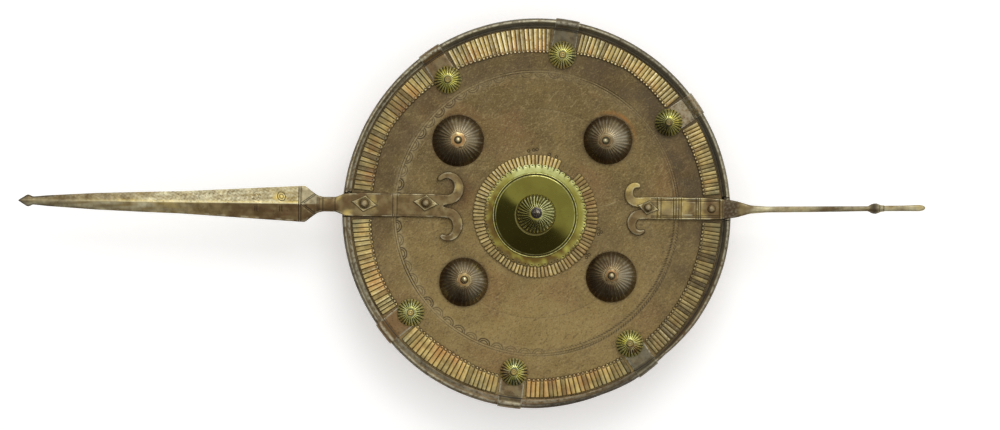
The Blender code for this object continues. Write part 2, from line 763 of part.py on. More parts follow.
def washer_mesh(half_length, half_width):
    """A lozenge with sloping sides and a hole for its rivet."""
    bm = bmesh.new()

    def lozenge(scale, height):
        corners = ((half_length, 0), (0, half_width), (-half_length, 0), (0, -half_width))
        return [bm.verts.new((x * scale, y * scale, height)) for x, y in corners]

    rings = [
        circle(bm, HOLE, 0, 4),
        lozenge(1.0, 0),
        lozenge(0.97, 0.5 * WASHER_HEIGHT),
        lozenge(0.66, WASHER_HEIGHT),
        circle(bm, HOLE, WASHER_HEIGHT, 4),
    ]
    for a, b in zip(rings, rings[1:] + rings[:1]):
        join_rings(bm, a, b)
    return finish_mesh(bm, "lozenge_washer")


def rivet_mesh(head, seat):
    """A domed head on a shank that is peened behind the leather."""
    rings = [
        (0, seat + 0.55 * head, 1),
        (0.62 * head, seat + 0.4 * head, 6),
        (head, seat, 12),
        *shank_rings(seat, BACK_Z - GAP),
    ]
    return turned_mesh("arm_rivet", rings)


def build_arm_rivets(materials, arms):
    strap_top = FACE_Z + GAP + STRAP_HEIGHT + GAP
    for arm, side, rivets in (("dagger", -1, DAGGER_RIVETS), ("rod", 1, ROD_RIVETS)):
        for number, rivet in enumerate(rivets, 1):
            place = (side * rivet.reach, rivet.lateral, 0)
            seat = strap_top
            if rivet.washer:
                washer = add_object(
                    f"{arm}_washer_{number}",
                    washer_mesh(*rivet.washer),
                    materials["arm_iron"],
                    arms,
                    (place[0], place[1], strap_top),
                    rivet.turn,
                )
                washer.data.name = washer.name
                seat += WASHER_HEIGHT + GAP
            mesh = rivet_mesh(rivet.head, seat)
            add_object(f"{arm}_rivet_{number}", mesh, materials["arm_iron"], arms, place)


# ---------------------------------------------------------------- handles


def handle_stations(span, bar, foot, depth):
    """Half of the path, mirrored: flat foot under its bolt, leg down from the back, straight hold."""
    half = span / 2
    drop = HANDLE_DROP - depth
    foot_level = -GAP - FOOT_HEIGHT / 2
    leg = half - 12 * MM
    out = [
        (half + FOOT_LENGTH, foot_level, foot, FOOT_HEIGHT / 2),
        (half - 6 * MM, foot_level, foot, FOOT_HEIGHT / 2),
        (leg, -0.14 * drop, *bar),
        (leg - 6 * MM, -0.52 * drop, *bar),
        (leg - 13 * MM, -0.86 * drop, *bar),
        (leg - 24 * MM, -drop, *bar),
    ]
    rows = out + [(-s, z, width, height) for s, z, width, height in reversed(out)]
    return [
        Station(Vector((s, 0, z)), height, width, 0.45, 0.5)
        for s, z, width, height in rows
    ]


def build_handle(name, top, bottom, bar, material, shield):
    """A handle between the bolts of two bosses. Bar is its half width and half thickness."""
    a, b = Vector(BOSS_PLACES[top]), Vector(BOSS_PLACES[bottom])
    turn = math.atan2(a.y - b.y, a.x - b.x)
    middle = (a + b) / 2
    span = (a - b).length
    foot = 8 * MM
    stations = handle_stations(span, bar, foot, bar[1])
    mesh = bar_mesh(name, stations, Vector((0, 1, 0)))
    handle = add_object(name, mesh, material, shield, (*middle, BACK_Z), turn)
    holes = holes_mesh(f"{name}_holes", [a, b], BACK_Z - 6 * MM, BACK_Z + 3 * MM)
    boolean(handle, add_cutter(f"{name}_holes", holes, shield), "DIFFERENCE")


def main():
    clear_scene()
    materials = make_materials()
    shield = make_empty("shield", (DISC_X, 0, 0))
    arms = make_empty("arm_line", (0, ARM_OFFSET, 0), shield, ARM_LEAN)
    build_disc(materials["leather"], shield)
    build_rim(materials["rim_iron"], shield, arms)
    build_bands(materials["gilt_copper"], shield)
    build_clips(materials, shield)
    build_bosses(materials, shield)
    build_centre(materials, shield)
    build_dagger_arm(materials["arm_iron"], arms)
    build_rod_arm(materials["arm_iron"], arms)
    build_arm_rivets(materials, arms)
    grip = (GRIP_RADIUS, GRIP_RADIUS)
    build_handle("hand_grip", "upper_left", "lower_left", grip, materials["binding"], shield)
    build_handle("forearm_strap", "upper_right", "lower_right", STRAP_BAND, materials["binding"], shield)


main()
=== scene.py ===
"""Looks of the parrying shield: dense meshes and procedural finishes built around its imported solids.

Every mesh is worked out in millimetres, from the boxes of the solids, and turned into metres when it
is made. Angles are counted from +X round by +Y, seen from the front (+Z).
"""

import math
from collections import namedtuple

import bpy
import numpy as np
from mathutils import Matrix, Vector
from mathutils.geometry import delaunay_2d_cdt


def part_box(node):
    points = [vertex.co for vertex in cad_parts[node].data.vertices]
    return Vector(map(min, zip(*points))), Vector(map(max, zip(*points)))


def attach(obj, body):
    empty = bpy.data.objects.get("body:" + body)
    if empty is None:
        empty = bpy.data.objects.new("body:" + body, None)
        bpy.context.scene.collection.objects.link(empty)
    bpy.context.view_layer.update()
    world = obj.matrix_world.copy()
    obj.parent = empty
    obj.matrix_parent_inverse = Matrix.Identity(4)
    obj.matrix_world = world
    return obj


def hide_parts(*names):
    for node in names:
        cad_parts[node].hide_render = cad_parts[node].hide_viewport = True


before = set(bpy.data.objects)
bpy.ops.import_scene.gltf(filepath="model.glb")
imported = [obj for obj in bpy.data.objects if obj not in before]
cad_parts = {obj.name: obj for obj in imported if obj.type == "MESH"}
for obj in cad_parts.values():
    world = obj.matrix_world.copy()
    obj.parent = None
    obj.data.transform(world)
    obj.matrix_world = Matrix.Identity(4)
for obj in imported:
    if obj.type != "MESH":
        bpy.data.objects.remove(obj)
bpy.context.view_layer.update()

MM = 0.001
TURN = 2 * math.pi


def box(node):
    """The node's lowest and highest corners, in millimetres."""
    return [np.array(corner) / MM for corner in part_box(node)]


def middle_of(node):
    low, high = box(node)
    return (low + high) / 2


# ---------------------------------------------------------------- places that come from the solids

DISC_LOW, DISC_HIGH = box("leather_disc")
CENTRE = ((DISC_LOW + DISC_HIGH) / 2)[:2]
FACE, BACK = DISC_HIGH[2], DISC_LOW[2]
DISC_RADIUS = (DISC_HIGH[0] - DISC_LOW[0]) / 2
RIM_LOW, RIM_HIGH = box("rim")
RIM_RADIUS = (RIM_HIGH[0] - RIM_LOW[0]) / 2
CLIPS = range(1, 7)
STRIPS = range(1, 9)
BOSSES = ("upper_left", "upper_right", "lower_left", "lower_right")

# The arms' common line: how far it passes above the centre, and its lean.
ARM_OFFSET = 5.9
ARM_LEAN = math.radians(-0.72)
DAGGER, ROD = -1, 1  # the sides of the two arms along X
DAGGER_STRAP_HALF = 11.0
ROD_STRAP_HALF = 10.5


def stud_angle(number):
    x, y = middle_of(f"brass_stud_{number}")[:2] - CENTRE
    return math.atan2(y, x) % TURN


# ---------------------------------------------------------------- shells

Shell = namedtuple("Shell", "points faces fields")
WELD_CELLS = 1e4  # for each millimetre: points in the same cell are one


def smoothstep(low, high, value):
    t = np.clip((np.asarray(value, float) - low) / (high - low), 0, 1)
    return t * t * (3 - 2 * t)


def bump(value, middle, half_width):
    """1 at the middle, falling smoothly to 0 at the half width."""
    return 1 - smoothstep(0, half_width, np.abs(value - middle))


def ripple(points, wavelength, seed, waves=14):
    """Smooth random unevenness of about unit height, as a sum of seeded waves."""
    rng = np.random.default_rng(seed)
    total = np.zeros(np.shape(points)[:-1])
    for _ in range(waves):
        direction = rng.normal(size=np.shape(points)[-1])
        direction *= TURN / (np.linalg.norm(direction) * wavelength * rng.uniform(0.7, 1.6))
        total += np.sin(points @ direction + rng.uniform(0, TURN))
    return total / math.sqrt(waves / 2)


def by_angle(angle, stops):
    """The value at each angle, in radians, from (degrees, value) stops round the circle."""
    degrees, values = zip(*stops)
    return np.interp(np.degrees(angle) % 360, degrees, values, period=360)


def polar(points):
    """Radius and angle of flat points."""
    return np.hypot(points[..., 0], points[..., 1]), np.arctan2(points[..., 1], points[..., 0]) % TURN


def angles_round(count):
    return np.arange(count) * TURN / count


def side_of(path):
    """The unit direction to the left of a flat path, at each of its points."""
    ahead = np.gradient(path, axis=0)
    return np.column_stack([-ahead[:, 1], ahead[:, 0]]) / np.linalg.norm(ahead, axis=1)[:, None]


def spin(turn):
    """The matrix that turns rows of points about Z."""
    cos, sin = math.cos(turn), math.sin(turn)
    return np.array([[cos, sin, 0], [-sin, cos, 0], [0, 0, 1]])


def around(radius, angle, height):
    """Points from radii, angles and heights, which may be arrays that fit each other."""
    radius, angle, height = np.broadcast_arrays(radius, angle, height)
    return np.stack([radius * np.cos(angle), radius * np.sin(angle), height], axis=-1)


def grid_shell(points, fields=None, close_rows=False, close_columns=False, caps=False):
    """A shell from a grid of points [row, column]. Caps close the loops of its first and last column."""
    rows, columns = points.shape[:2]
    index = np.arange(rows * columns).reshape(rows, columns)
    if close_rows:
        index = np.vstack([index, index[:1]])
    if close_columns:
        index = np.hstack([index, index[:, :1]])
    a, b, c, d = index[:-1, :-1], index[1:, :-1], index[1:, 1:], index[:-1, 1:]
    faces = [np.stack([a, b, c, d], axis=-1).reshape(-1, 4)]
    if caps:
        for column, step in ((0, 1), (columns - 1, -1)):
            loop = np.arange(rows) * columns + column
            half = rows // 2
            near, far = loop[:half], loop[::-1][:half]
            faces.append(np.stack([near[:-1], far[:-1], far[1:], near[1:]], axis=-1)[:, ::step])
    flat = {name: np.broadcast_to(v, (rows, columns)).flatten() for name, v in (fields or {}).items()}
    return Shell(points.reshape(-1, 3), np.vstack(faces), flat)


def joined(shells):
    """Several shells as one, with each field 0 where a shell lacks it."""
    names = {name for shell in shells for name in shell.fields}
    offsets = np.cumsum([0] + [len(shell.points) for shell in shells])
    fields = {
        name: np.concatenate([s.fields.get(name, np.zeros(len(s.points))) for s in shells])
        for name in names
    }
    faces = np.vstack([shell.faces + offset for shell, offset in zip(shells, offsets)])
    return Shell(np.vstack([shell.points for shell in shells]), faces, fields)


def placed(shell, x=0.0, y=0.0, z=0.0, turn=0.0):
    """The shell turned about Z and then moved."""
    return shell._replace(points=shell.points @ spin(turn) + (x, y, z))


def axis_places(shell):
    """Each point's distance from the Z axis and angle round it."""
    return np.hypot(*shell.points[:, :2].T), np.arctan2(*shell.points[:, 1::-1].T)


def ends_repeated(fields, before=1):
    """The fields with their first row repeated so often before them, and their last row once after."""
    return {name: np.vstack([values[:1]] * before + [values, values[-1:]]) for name, values in fields.items()}


def leaned(shell, foot, shift):
    """The shell sheared sideways, by the (x, y) shift for each millimetre above its foot."""
    rise = shell.points[:, 2:] - foot
    return shell._replace(points=shell.points + np.hstack([rise * shift, 0 * rise]))


def welded(shell):
    """The shell with equal points made one and its faces turned outward, and its triangles kept apart."""
    cells = np.round(shell.points * WELD_CELLS).astype(np.int64)
    _, first, index = np.unique(cells, axis=0, return_index=True, return_inverse=True)
    faces = index.reshape(-1)[shell.faces]
    points = shell.points[first]
    fields = {name: values[first] for name, values in shell.fields.items()}
    a, b, c, d = (points[faces[:, i]] for i in range(4))
    volume = (np.cross(b, c) * a).sum() + (np.cross(c, d) * a).sum()
    if volume < 0:
        faces = faces[:, ::-1]
    repeated = faces == np.roll(faces, -1, axis=1)
    quads = faces[~repeated.any(axis=1)]
    single = repeated.sum(axis=1) == 1
    triangles = faces[single][~repeated[single]].reshape(-1, 3)
    return points, (quads, triangles), fields


def make_piece(name, shell, material, nodes, smooth=40):
    """The shell as a mesh object that stands for the nodes and takes the material."""
    points, groups, fields = welded(shell)
    mesh = bpy.data.meshes.new(name)
    corners = np.concatenate([group.ravel() for group in groups]).astype(np.int32)
    sizes = np.concatenate([np.full(len(group), group.shape[1]) for group in groups])
    mesh.vertices.add(len(points))
    mesh.vertices.foreach_set("co", (points * MM).ravel().astype(np.float32))
    mesh.loops.add(len(corners))
    mesh.loops.foreach_set("vertex_index", corners)
    mesh.polygons.add(len(sizes))
    starts = np.concatenate([[0], np.cumsum(sizes)[:-1]])
    mesh.polygons.foreach_set("loop_start", starts.astype(np.int32))
    mesh.update(calc_edges=True)
    mesh.validate()
    for field, values in fields.items():
        layer = mesh.attributes.new(field, "FLOAT", "POINT")
        layer.data.foreach_set("value", values.astype(np.float32))
    mesh.shade_smooth()
    mesh.set_sharp_from_angle(angle=math.radians(smooth))
    mesh.materials.append(material)
    piece = bpy.data.objects.new(name, mesh)
    bpy.context.scene.collection.objects.link(piece)
    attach(piece, "root")
    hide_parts(*nodes)
    return piece


# ---------------------------------------------------------------- flat shapes with relief

LINE_HALF = 0.42  # half width of an engraved line
LINE_STEP = 0.5  # between the points along it
POINTS_AT_ONCE = 2000


def subdivided(path, step, closed=False):
    """The path with all its points kept, and further ones about a step apart between them."""
    path = [np.asarray(p, float) for p in path]
    ends = path[1:] + path[:1] if closed else path[1:]
    made = []
    for a, b in zip(path, ends):
        count = max(1, math.ceil(np.linalg.norm(b - a) / step))
        made += [a + (b - a) * i / count for i in range(count)]
    if not closed:
        made.append(path[-1])
    return np.array(made)


def distance_to(points, path, closed=False):
    """The distance from each flat point to the path."""
    starts = np.asarray(path, float)
    ends = np.roll(starts, -1, axis=0)
    if not closed:
        starts, ends = starts[:-1], ends[:-1]
    along = ends - starts
    lengths = np.maximum((along**2).sum(axis=1), 1e-12)
    nearest = np.empty(len(points))
    for i in range(0, len(points), POINTS_AT_ONCE):
        part = slice(i, i + POINTS_AT_ONCE)
        gap = points[part, None] - starts
        share = np.clip((gap * along).sum(axis=2) / lengths, 0, 1)
        nearest[part] = np.sqrt(((gap - share[..., None] * along) ** 2).sum(axis=2).min(axis=1))
    return nearest


def inside(points, outline):
    """Whether each flat point lies inside the closed outline."""
    within = np.zeros(len(points), bool)
    x, y = points[:, 0], points[:, 1]
    for (x1, y1), (x2, y2) in zip(outline, np.roll(outline, -1, axis=0)):
        if y1 != y2:
            crossing = (y1 > y) != (y2 > y)
            within ^= crossing & (x < (x2 - x1) * (y - y1) / (y2 - y1) + x1)
    return within


def triangulated(points, loop):
    """Triangles between flat points, inside the loop of the first ones. It also gives, for each point
    made, the first of those that it stands for."""
    edges = [(i, (i + 1) % loop) for i in range(loop)]
    made = delaunay_2d_cdt([Vector(p) for p in points], edges, [], 1, 1e-6)
    flat = np.array([tuple(p) for p in made[0]])
    faces = np.array([tuple(f) + (f[-1],) for f in made[2]])
    return flat, faces, np.array([min(origin) for origin in made[3]])


def spread(points, kept, spacing):
    """The points that stay at least the spacing away from those kept."""
    cells = {}
    for x, y in kept:
        cells.setdefault((int(x // spacing), int(y // spacing)), []).append((x, y))
    chosen = []
    for x, y in points:
        i, j = int(x // spacing), int(y // spacing)
        around_it = [(i + di, j + dj) for di in (-1, 0, 1) for dj in (-1, 0, 1)]
        near = (p for cell in around_it for p in cells.get(cell, ()))
        if all((x - px) ** 2 + (y - py) ** 2 >= spacing**2 for px, py in near):
            chosen.append((x, y))
    return np.array(chosen).reshape(-1, 2)


def hex_grid(low, high, step):
    """Points of even triangles over the box between the two corners."""
    rise = step * math.sqrt(3) / 2
    rows = []
    for i, y in enumerate(np.arange(low[1], high[1], rise)):
        x = np.arange(low[0] + step / 2 * (i % 2), high[0], step)
        rows.append(np.column_stack([x, np.full(len(x), y)]))
    return np.vstack(rows)


def beside(path, offsets):
    """Copies of the path moved sideways by each offset."""
    side = side_of(path)
    return np.vstack([path + side * offset for offset in offsets])


def slab_shell(outline, step, lines, form, edge_rows=(0.12, 0.4, 0.8, 1.3)):
    """A flat body inside the outline, whose two sides meet at its edge.

    Lines are paths with closer points beside them. Form takes flat points and their distance to the
    outline, and gives the heights of the two sides and the fields.
    """
    outline = subdivided(outline, step, closed=True)
    looped = np.vstack([outline[-1:], outline, outline[:1]])
    rows = [row for d in edge_rows for row in (beside(looped, (d,))[1:-1], beside(looped, (-d,))[1:-1])]
    near = np.vstack(rows)
    away = distance_to(near, outline, closed=True)
    wanted = np.repeat([d for d in edge_rows for _ in (0, 1)], len(outline))
    near = near[inside(near, outline) & (away > 0.9 * wanted)]
    fine = [beside(subdivided(line, LINE_STEP), (-LINE_HALF, 0.0, LINE_HALF)) for line in lines]
    fine = np.vstack(fine + [np.empty((0, 2))])
    fine = fine[inside(fine, outline) & (distance_to(fine, outline, closed=True) > edge_rows[0])]
    fixed = np.vstack([near, fine])
    hexes = hex_grid(outline.min(axis=0), outline.max(axis=0), step)
    hexes = hexes[inside(hexes, outline)]
    hexes = hexes[distance_to(hexes, outline, closed=True) > edge_rows[-1] + 0.3 * step]
    hexes = spread(hexes, fixed, 0.6 * step)
    flat, faces, first = triangulated(np.vstack([outline, fixed, hexes]), len(outline))
    on_edge = first < len(outline)
    distance = np.where(on_edge, 0.0, distance_to(flat, outline, closed=True))
    top, bottom, fields = form(flat, distance)
    count = len(flat)
    below = np.where(on_edge, np.arange(count), count + np.arange(count))
    points = np.vstack([np.column_stack([flat, top]), np.column_stack([flat, bottom])])
    both = np.vstack([faces, below[faces][:, [0, 2, 1, 1]]])
    return Shell(points, both, {name: np.tile(values, 2) for name, values in fields.items()})


# ---------------------------------------------------------------- finishes


def srgb(red, green, blue):
    """A screen colour, 0 to 255, as the linear colour that shaders take."""
    shares = (c / 255 for c in (red, green, blue))
    return (*(c / 12.92 if c <= 0.04045 else ((c + 0.055) / 1.055) ** 2.4 for c in shares), 1.0)


class Graph:
    """A node graph, with one method for each kind of node."""

    def __init__(self, owner):
        owner.use_nodes = True
        self.tree = owner.node_tree

    def node(self, kind, inputs=(), **settings):
        made = self.tree.nodes.new(kind)
        for name, value in settings.items():
            setattr(made, name, value)
        for socket, value in inputs:
            self.feed(made.inputs[socket], value)
        return made

    def feed(self, socket, value):
        if isinstance(value, bpy.types.NodeSocket):
            self.tree.links.new(value, socket)
        else:
            socket.default_value = value

    def math(self, operation, a, b, clamp=False):
        return self.node("ShaderNodeMath", [(0, a), (1, b)], operation=operation, use_clamp=clamp).outputs[0]

    def remap(self, value, low, high, to_low=0.0, to_high=1.0):
        """The value from low to high, turned smoothly into one from to_low to to_high."""
        inputs = [("Value", value), ("From Min", low), ("From Max", high)]
        inputs += [("To Min", to_low), ("To Max", to_high)]
        return self.node("ShaderNodeMapRange", inputs, interpolation_type="SMOOTHSTEP").outputs[0]


class Finish(Graph):
    """A material and its node graph."""

    def __init__(self, name):
        self.material = bpy.data.materials.new(name)
        super().__init__(self.material)
        self.shader = self.tree.nodes["Principled BSDF"]
        self.place = self.node("ShaderNodeTexCoord").outputs["Object"]

    def field(self, name):
        """The mesh's own values of that name, set at its points."""
        return self.node("ShaderNodeAttribute", attribute_name=name).outputs["Fac"]

    def noise(self, size, detail=4.0, stretch=(1, 1, 1), distortion=0.0, slant=0.0):
        """Noise with features of about the size, in millimetres, drawn out by the stretch, and turned."""
        place = self.place
        if stretch != (1, 1, 1):
            for change, value in (("Rotation", (0, 0, slant)), ("Scale", tuple(1 / s for s in stretch))):
                place = self.node("ShaderNodeMapping", [("Vector", place), (change, value)]).outputs[0]
        inputs = [("Vector", place), ("Scale", 1 / (size * MM)), ("Detail", detail)]
        return self.node("ShaderNodeTexNoise", [*inputs, ("Distortion", distortion)]).outputs["Fac"]

    def cells(self, size):
        """Rounded grains of about the size, in millimetres."""
        inputs = [("Vector", self.place), ("Scale", 1 / (size * MM))]
        return self.node("ShaderNodeTexVoronoi", inputs, feature="F1").outputs["Distance"]

    def mix(self, a, b, share):
        """Colour a, turning into colour b where the share goes to 1."""
        inputs = [(0, share), (6, a), (7, b)]
        return self.node("ShaderNodeMix", inputs, data_type="RGBA").outputs[2]

    def raise_by(self, height, depth, below=None):
        """A bump of the height's 0 to 1, as deep as the depth in millimetres."""
        inputs = [("Height", height), ("Distance", depth * MM)]
        if below is not None:
            inputs.append(("Normal", below))
        return self.node("ShaderNodeBump", inputs).outputs[0]

    def set(self, **values):
        """Set the shader's inputs, each named as in Blender but in small letters, and give the material."""
        for name, value in values.items():
            self.feed(self.shader.inputs[name.replace("_", " ").title().replace("Ior", "IOR")], value)
        return self.material


def metal(name, base, aged, grime, glint, smooth, rough, warm=None, cool=None, metallic=1.0, mottle=8.0,
          pits=0.05, even=0.0):
    """Patinated metal. Its fields are grime and shade (dirt in hollows, and painted shade), wear and
    highlight (rubbed edges, and painted highlights), pits (eaten spots), and tone (warm over 0, cool under
    it; on some pieces it also paints the lit and the shaded side).
    Mottle is the size of its patches, pits also the depth of its bumps, and even how much of the wear and
    highlight is left where it is least."""
    f = Finish(name)
    broad = f.noise(mottle, 5.0)
    fine = f.noise(1.1, 3.0)
    colour = f.mix(base, aged, f.remap(broad, 0.38, 0.64))
    if warm:
        uneven = f.math("SUBTRACT", f.noise(5.0, 3.0), 0.5)
        strength = f.math("ABSOLUTE", f.field("tone"), 0.0)
        tone = f.math("ADD", f.field("tone"), f.math("MULTIPLY", uneven, strength))
        colour = f.mix(colour, srgb(*warm), f.math("MAXIMUM", tone, 0.0, clamp=True))
        colour = f.mix(colour, srgb(*cool), f.math("MULTIPLY", tone, -1.0, clamp=True))
    wear = f.math("MULTIPLY", f.field("wear"), f.remap(f.noise(3.0), 0.3, 0.6, even, 1.0), clamp=True)
    colour = f.mix(colour, glint, wear)
    dirt = f.math("MULTIPLY", f.field("grime"), f.remap(fine, 0.2, 0.6, 0.75, 1.1), clamp=True)
    specks = f.remap(f.noise(1.8, 2.0), 0.66, 0.74, 0.0, 0.45)
    eaten = f.math("MULTIPLY", f.field("pits"), f.remap(f.noise(1.3, 3.0), 0.56, 0.7, 0.0, 0.6))
    dirt = f.math("MAXIMUM", dirt, f.math("MAXIMUM", specks, eaten))
    colour = f.mix(colour, grime, dirt)
    dulled = f.math("MULTIPLY", dirt, 0.3)
    roughness = f.math("ADD", f.remap(broad, 0.3, 0.7, smooth, rough), dulled, clamp=True)
    shine = f.math("MULTIPLY", f.remap(dirt, 0.0, 1.0, 1.0, 0.25), metallic)
    normal = f.raise_by(broad, 2.5 * pits, f.raise_by(fine, pits))
    return f.set(base_color=colour, roughness=roughness, metallic=shine, normal=normal)


# The second colour is that of dust and scratches, and also of the painted highlights on the lit lips of the
# pressed lines.
STAIN_ORANGE, DUST_AND_HIGHLIGHT_PALE = srgb(158, 106, 44), srgb(174, 158, 116)
BACK_BROWN, PRESSED_DARK = srgb(122, 88, 56), srgb(46, 35, 22)


def leather(name, light, dark, warm, old, pale, dull):
    """Worn leather with painted light and shade: its light colour toward -Y, turning into its dark one toward
    +Y. Its fields are tool (pressed lines), ring (the darker border), stain, pale (dust, scratches and
    painted highlights on the lit lips of the pressed lines) and back."""
    f = Finish(name)
    # Painted light and shade: lighter toward -Y and darker toward +Y, with broad random mottle over it.
    painted_falloff_and_mottle = f.remap(f.node("ShaderNodeSeparateXYZ", [(0, f.place)]).outputs[1], -0.17, 0.15)
    painted_falloff_and_mottle = f.math("ADD", painted_falloff_and_mottle, f.remap(f.noise(30.0, 4.0), 0.25, 0.75, -0.35, 0.35), clamp=True)
    colour = f.mix(light, dark, painted_falloff_and_mottle)
    colour = f.mix(colour, warm, f.remap(f.noise(55.0, 5.0, distortion=0.4), 0.5, 0.68, 0.0, 0.5))
    border = f.math("MULTIPLY", f.field("ring"), f.remap(f.noise(26.0, 4.0), 0.3, 0.65, 0.4, 1.0))
    colour = f.mix(colour, old, border)
    fine = f.noise(1.4, 4.0)
    scuffs = f.noise(2.2, 5.0, stretch=(1, 3.2, 1), distortion=1.2, slant=0.6)
    grain = f.noise(1.7, 3.0, stretch=(2.6, 1, 1), distortion=0.9, slant=-0.35)
    for marks, least, most in ((fine, 0.46, 0.54), (scuffs, 0.43, 0.56), (grain, 0.43, 0.56)):
        colour = f.mix(colour, dull, f.remap(marks, least, least - 0.16, 0.0, 0.45))
        inside_border = f.remap(border, 0.0, 1.0, 1.0, 0.45)
        share = f.math("MULTIPLY", f.remap(marks, most, most + 0.16, 0.0, 0.45), inside_border)
        colour = f.mix(colour, pale, share)
    stain = f.math("MULTIPLY", f.field("stain"), f.remap(f.noise(6.0), 0.25, 0.6, 0.3, 1.0))
    colour = f.mix(colour, STAIN_ORANGE, stain)
    # The pale field: dust, scratches, and painted highlights on the lips of the pressed lines that face the
    # light.
    dust_and_highlight = f.math("MULTIPLY", f.field("pale"), f.remap(f.noise(3.0, 3.0), 0.35, 0.6, 0.3, 1.0))
    colour = f.mix(colour, DUST_AND_HIGHLIGHT_PALE, dust_and_highlight)
    rubbed = f.remap(f.noise(38.0, 5.0), 0.35, 0.65, 0.45, 0.9)
    colour = f.mix(colour, BACK_BROWN, f.math("MULTIPLY", f.field("back"), rubbed))
    pressed = f.math("MULTIPLY", f.field("tool"), f.remap(f.noise(1.6), 0.25, 0.6, 0.6, 1.0), clamp=True)
    colour = f.mix(colour, PRESSED_DARK, pressed)
    roughness = f.remap(f.noise(16.0, 4.0), 0.3, 0.7, 0.5, 0.7)
    normal = f.raise_by(f.cells(1.5), 0.08, f.raise_by(scuffs, 0.1, f.raise_by(fine, 0.1)))
    return f.set(base_color=colour, roughness=roughness, specular_ior_level=0.3, normal=normal)


# Each leather's colours: light and dark (the two ends of its painted light and shade), warm, old, pale and
# dull.
LEATHERS = {
    "leather": ((150, 127, 76), (112, 93, 51), (132, 98, 55), (86, 70, 42), (168, 148, 100), (70, 53, 30)),
    "binding": ((92, 62, 42), (70, 46, 30), (104, 68, 44), (60, 40, 28), (120, 86, 60), (46, 30, 20)),
}
# Each metal's colours: base, aged, grime (also that of painted shade) and glint (also that of painted
# highlights). Then its roughness where smooth and where rough, its warm and cool tones if it has them, and
# what else differs from the values that metal() takes.
METALS = {
    "rim_iron": ((130, 117, 86), (100, 85, 60), (36, 28, 17), (186, 180, 156), 0.34, 0.55,
                 ((126, 100, 66), (116, 110, 90)), {"metallic": 0.85}),
    "gilt_copper": ((196, 173, 108), (164, 141, 86), (58, 42, 22), (240, 226, 180), 0.3, 0.5,
                    ((190, 140, 82), (138, 130, 92)), {"metallic": 0.88}),
    "stud_brass": ((250, 244, 130), (230, 220, 110), (24, 17, 7), (255, 255, 212), 0.16, 0.28,
                   ((178, 144, 92), (162, 168, 112)), {"metallic": 0.88}),
    "worn_brass": ((154, 140, 94), (126, 107, 70), (38, 28, 14), (232, 214, 170), 0.24, 0.4,
                   ((170, 128, 84), (132, 132, 96)), {}),
    # For boss_brass the warm tone is a darker brown and the cool one a paler green; on the collar, cone and
    # bead they paint the shaded and the lit sides.
    "boss_brass": ((148, 143, 67), (136, 130, 60), (38, 30, 14), (230, 230, 168), 0.13, 0.22,
                   ((108, 86, 38), (184, 188, 122)), {"mottle": 22.0, "pits": 0.01}),
    # For dark_iron the warm tone is a pale grey and the cool one a dark brown; on the bosses they paint the
    # lit and the shaded sides.
    "dark_iron": ((140, 124, 90), (108, 90, 62), (34, 25, 15), (196, 192, 174), 0.24, 0.4,
                  ((172, 160, 132), (76, 58, 38)), {"metallic": 0.95}),
    "spike_steel": ((66, 56, 50), (48, 39, 33), (20, 15, 10), (252, 242, 228), 0.14, 0.24,
                    (), {"metallic": 0.35}),
    "arm_iron": ((136, 120, 82), (112, 93, 59), (46, 34, 20), (218, 212, 178), 0.36, 0.58,
                 ((212, 188, 108), (98, 76, 48)), {"metallic": 0.8, "even": 0.6}),
}


def make_finishes():
    finishes = {}
    for name, colours in LEATHERS.items():
        finishes[name] = leather(name, *(srgb(*colour) for colour in colours))
    for name, (*colours, smooth, rough, tones, others) in METALS.items():
        finishes[name] = metal(name, *(srgb(*colour) for colour in colours), smooth, rough, *tones, **others)
    return finishes


# ---------------------------------------------------------------- leather

TOOLED = (130.2, 132.3)  # radii of the double dotted line
DOT_PITCH = 1.6
INNER_LINE = 97.0
SCALLOP_PITCH = math.radians(5.7)
SCALLOP_ARCS = ((5.4, 4.6, 0.2), (3.5, 2.7, 0.28))  # half width, drop and softness of the two nested arcs
ROPE_MIDDLE = 129.6
ROPE_ROW = 1.9  # from the band's middle to the middle of each of its rows
ROPE_PITCH = 2.7
ROPE_ROUND = 130.9  # radius at which the pitch is measured
# How plainly the scallops and, on the other side, the rope-like band were pressed, round the disc.
SCALLOP_DEPTH = ((10, 0.15), (60, 0.35), (120, 0.7), (150, 1.0), (250, 1.0), (285, 0.3), (330, 0.1))
ROPE_DEPTH = ((20, 0.5), (60, 0.3), (100, 0.1), (240, 0.0), (275, 0.4), (300, 1.0), (350, 1.0))
# Small punched rings near the centre, as (x, y) from it.
STAMPS = ((-7.3, 57.4), (-2.6, 58.3), (0.4, 58.9), (11.7, 54.2), (18.3, 52.0), (57.6, -14.6), (59.8, -17.6),
          (57.2, -19.6), (44.8, -37.6), (48.6, -38.6), (46.2, -41.2))
STAMP_RADIUS = 1.2
# How much pale dust lies along the tooling, round the disc.
TOOLING_DUST = ((20, 0.0), (60, 0.2), (110, 0.5), (140, 0.9), (190, 1.0), (240, 0.6), (280, 0.2), (330, 0.1))
# How much darker than fresh leather the border and the middle have become, round the disc.
BORDER_AGE = ((25, 1.5), (50, 1.0), (110, 0.6), (160, 0.85), (185, 0.75), (205, 0.35), (250, 0.18),
              (300, 0.18), (330, 0.6))
MIDDLE_AGE = ((15, 0.15), (60, 0.0), (135, 0.15), (165, 0.5), (190, 0.0), (215, 0.0), (300, 0.0), (338, 0.45))
DARK_PATCH = (-67, 17)  # beside the dagger arm's scrolls
DARK_PATCH_RADIUS = 24
LIP_SIDE = (0.5, 0.6)  # from a pressed line to its lip that faces the light, which gets a painted highlight
SCRATCH = ((59.4, 6.4), (64.5, 7.0), (71.9, 9.6))
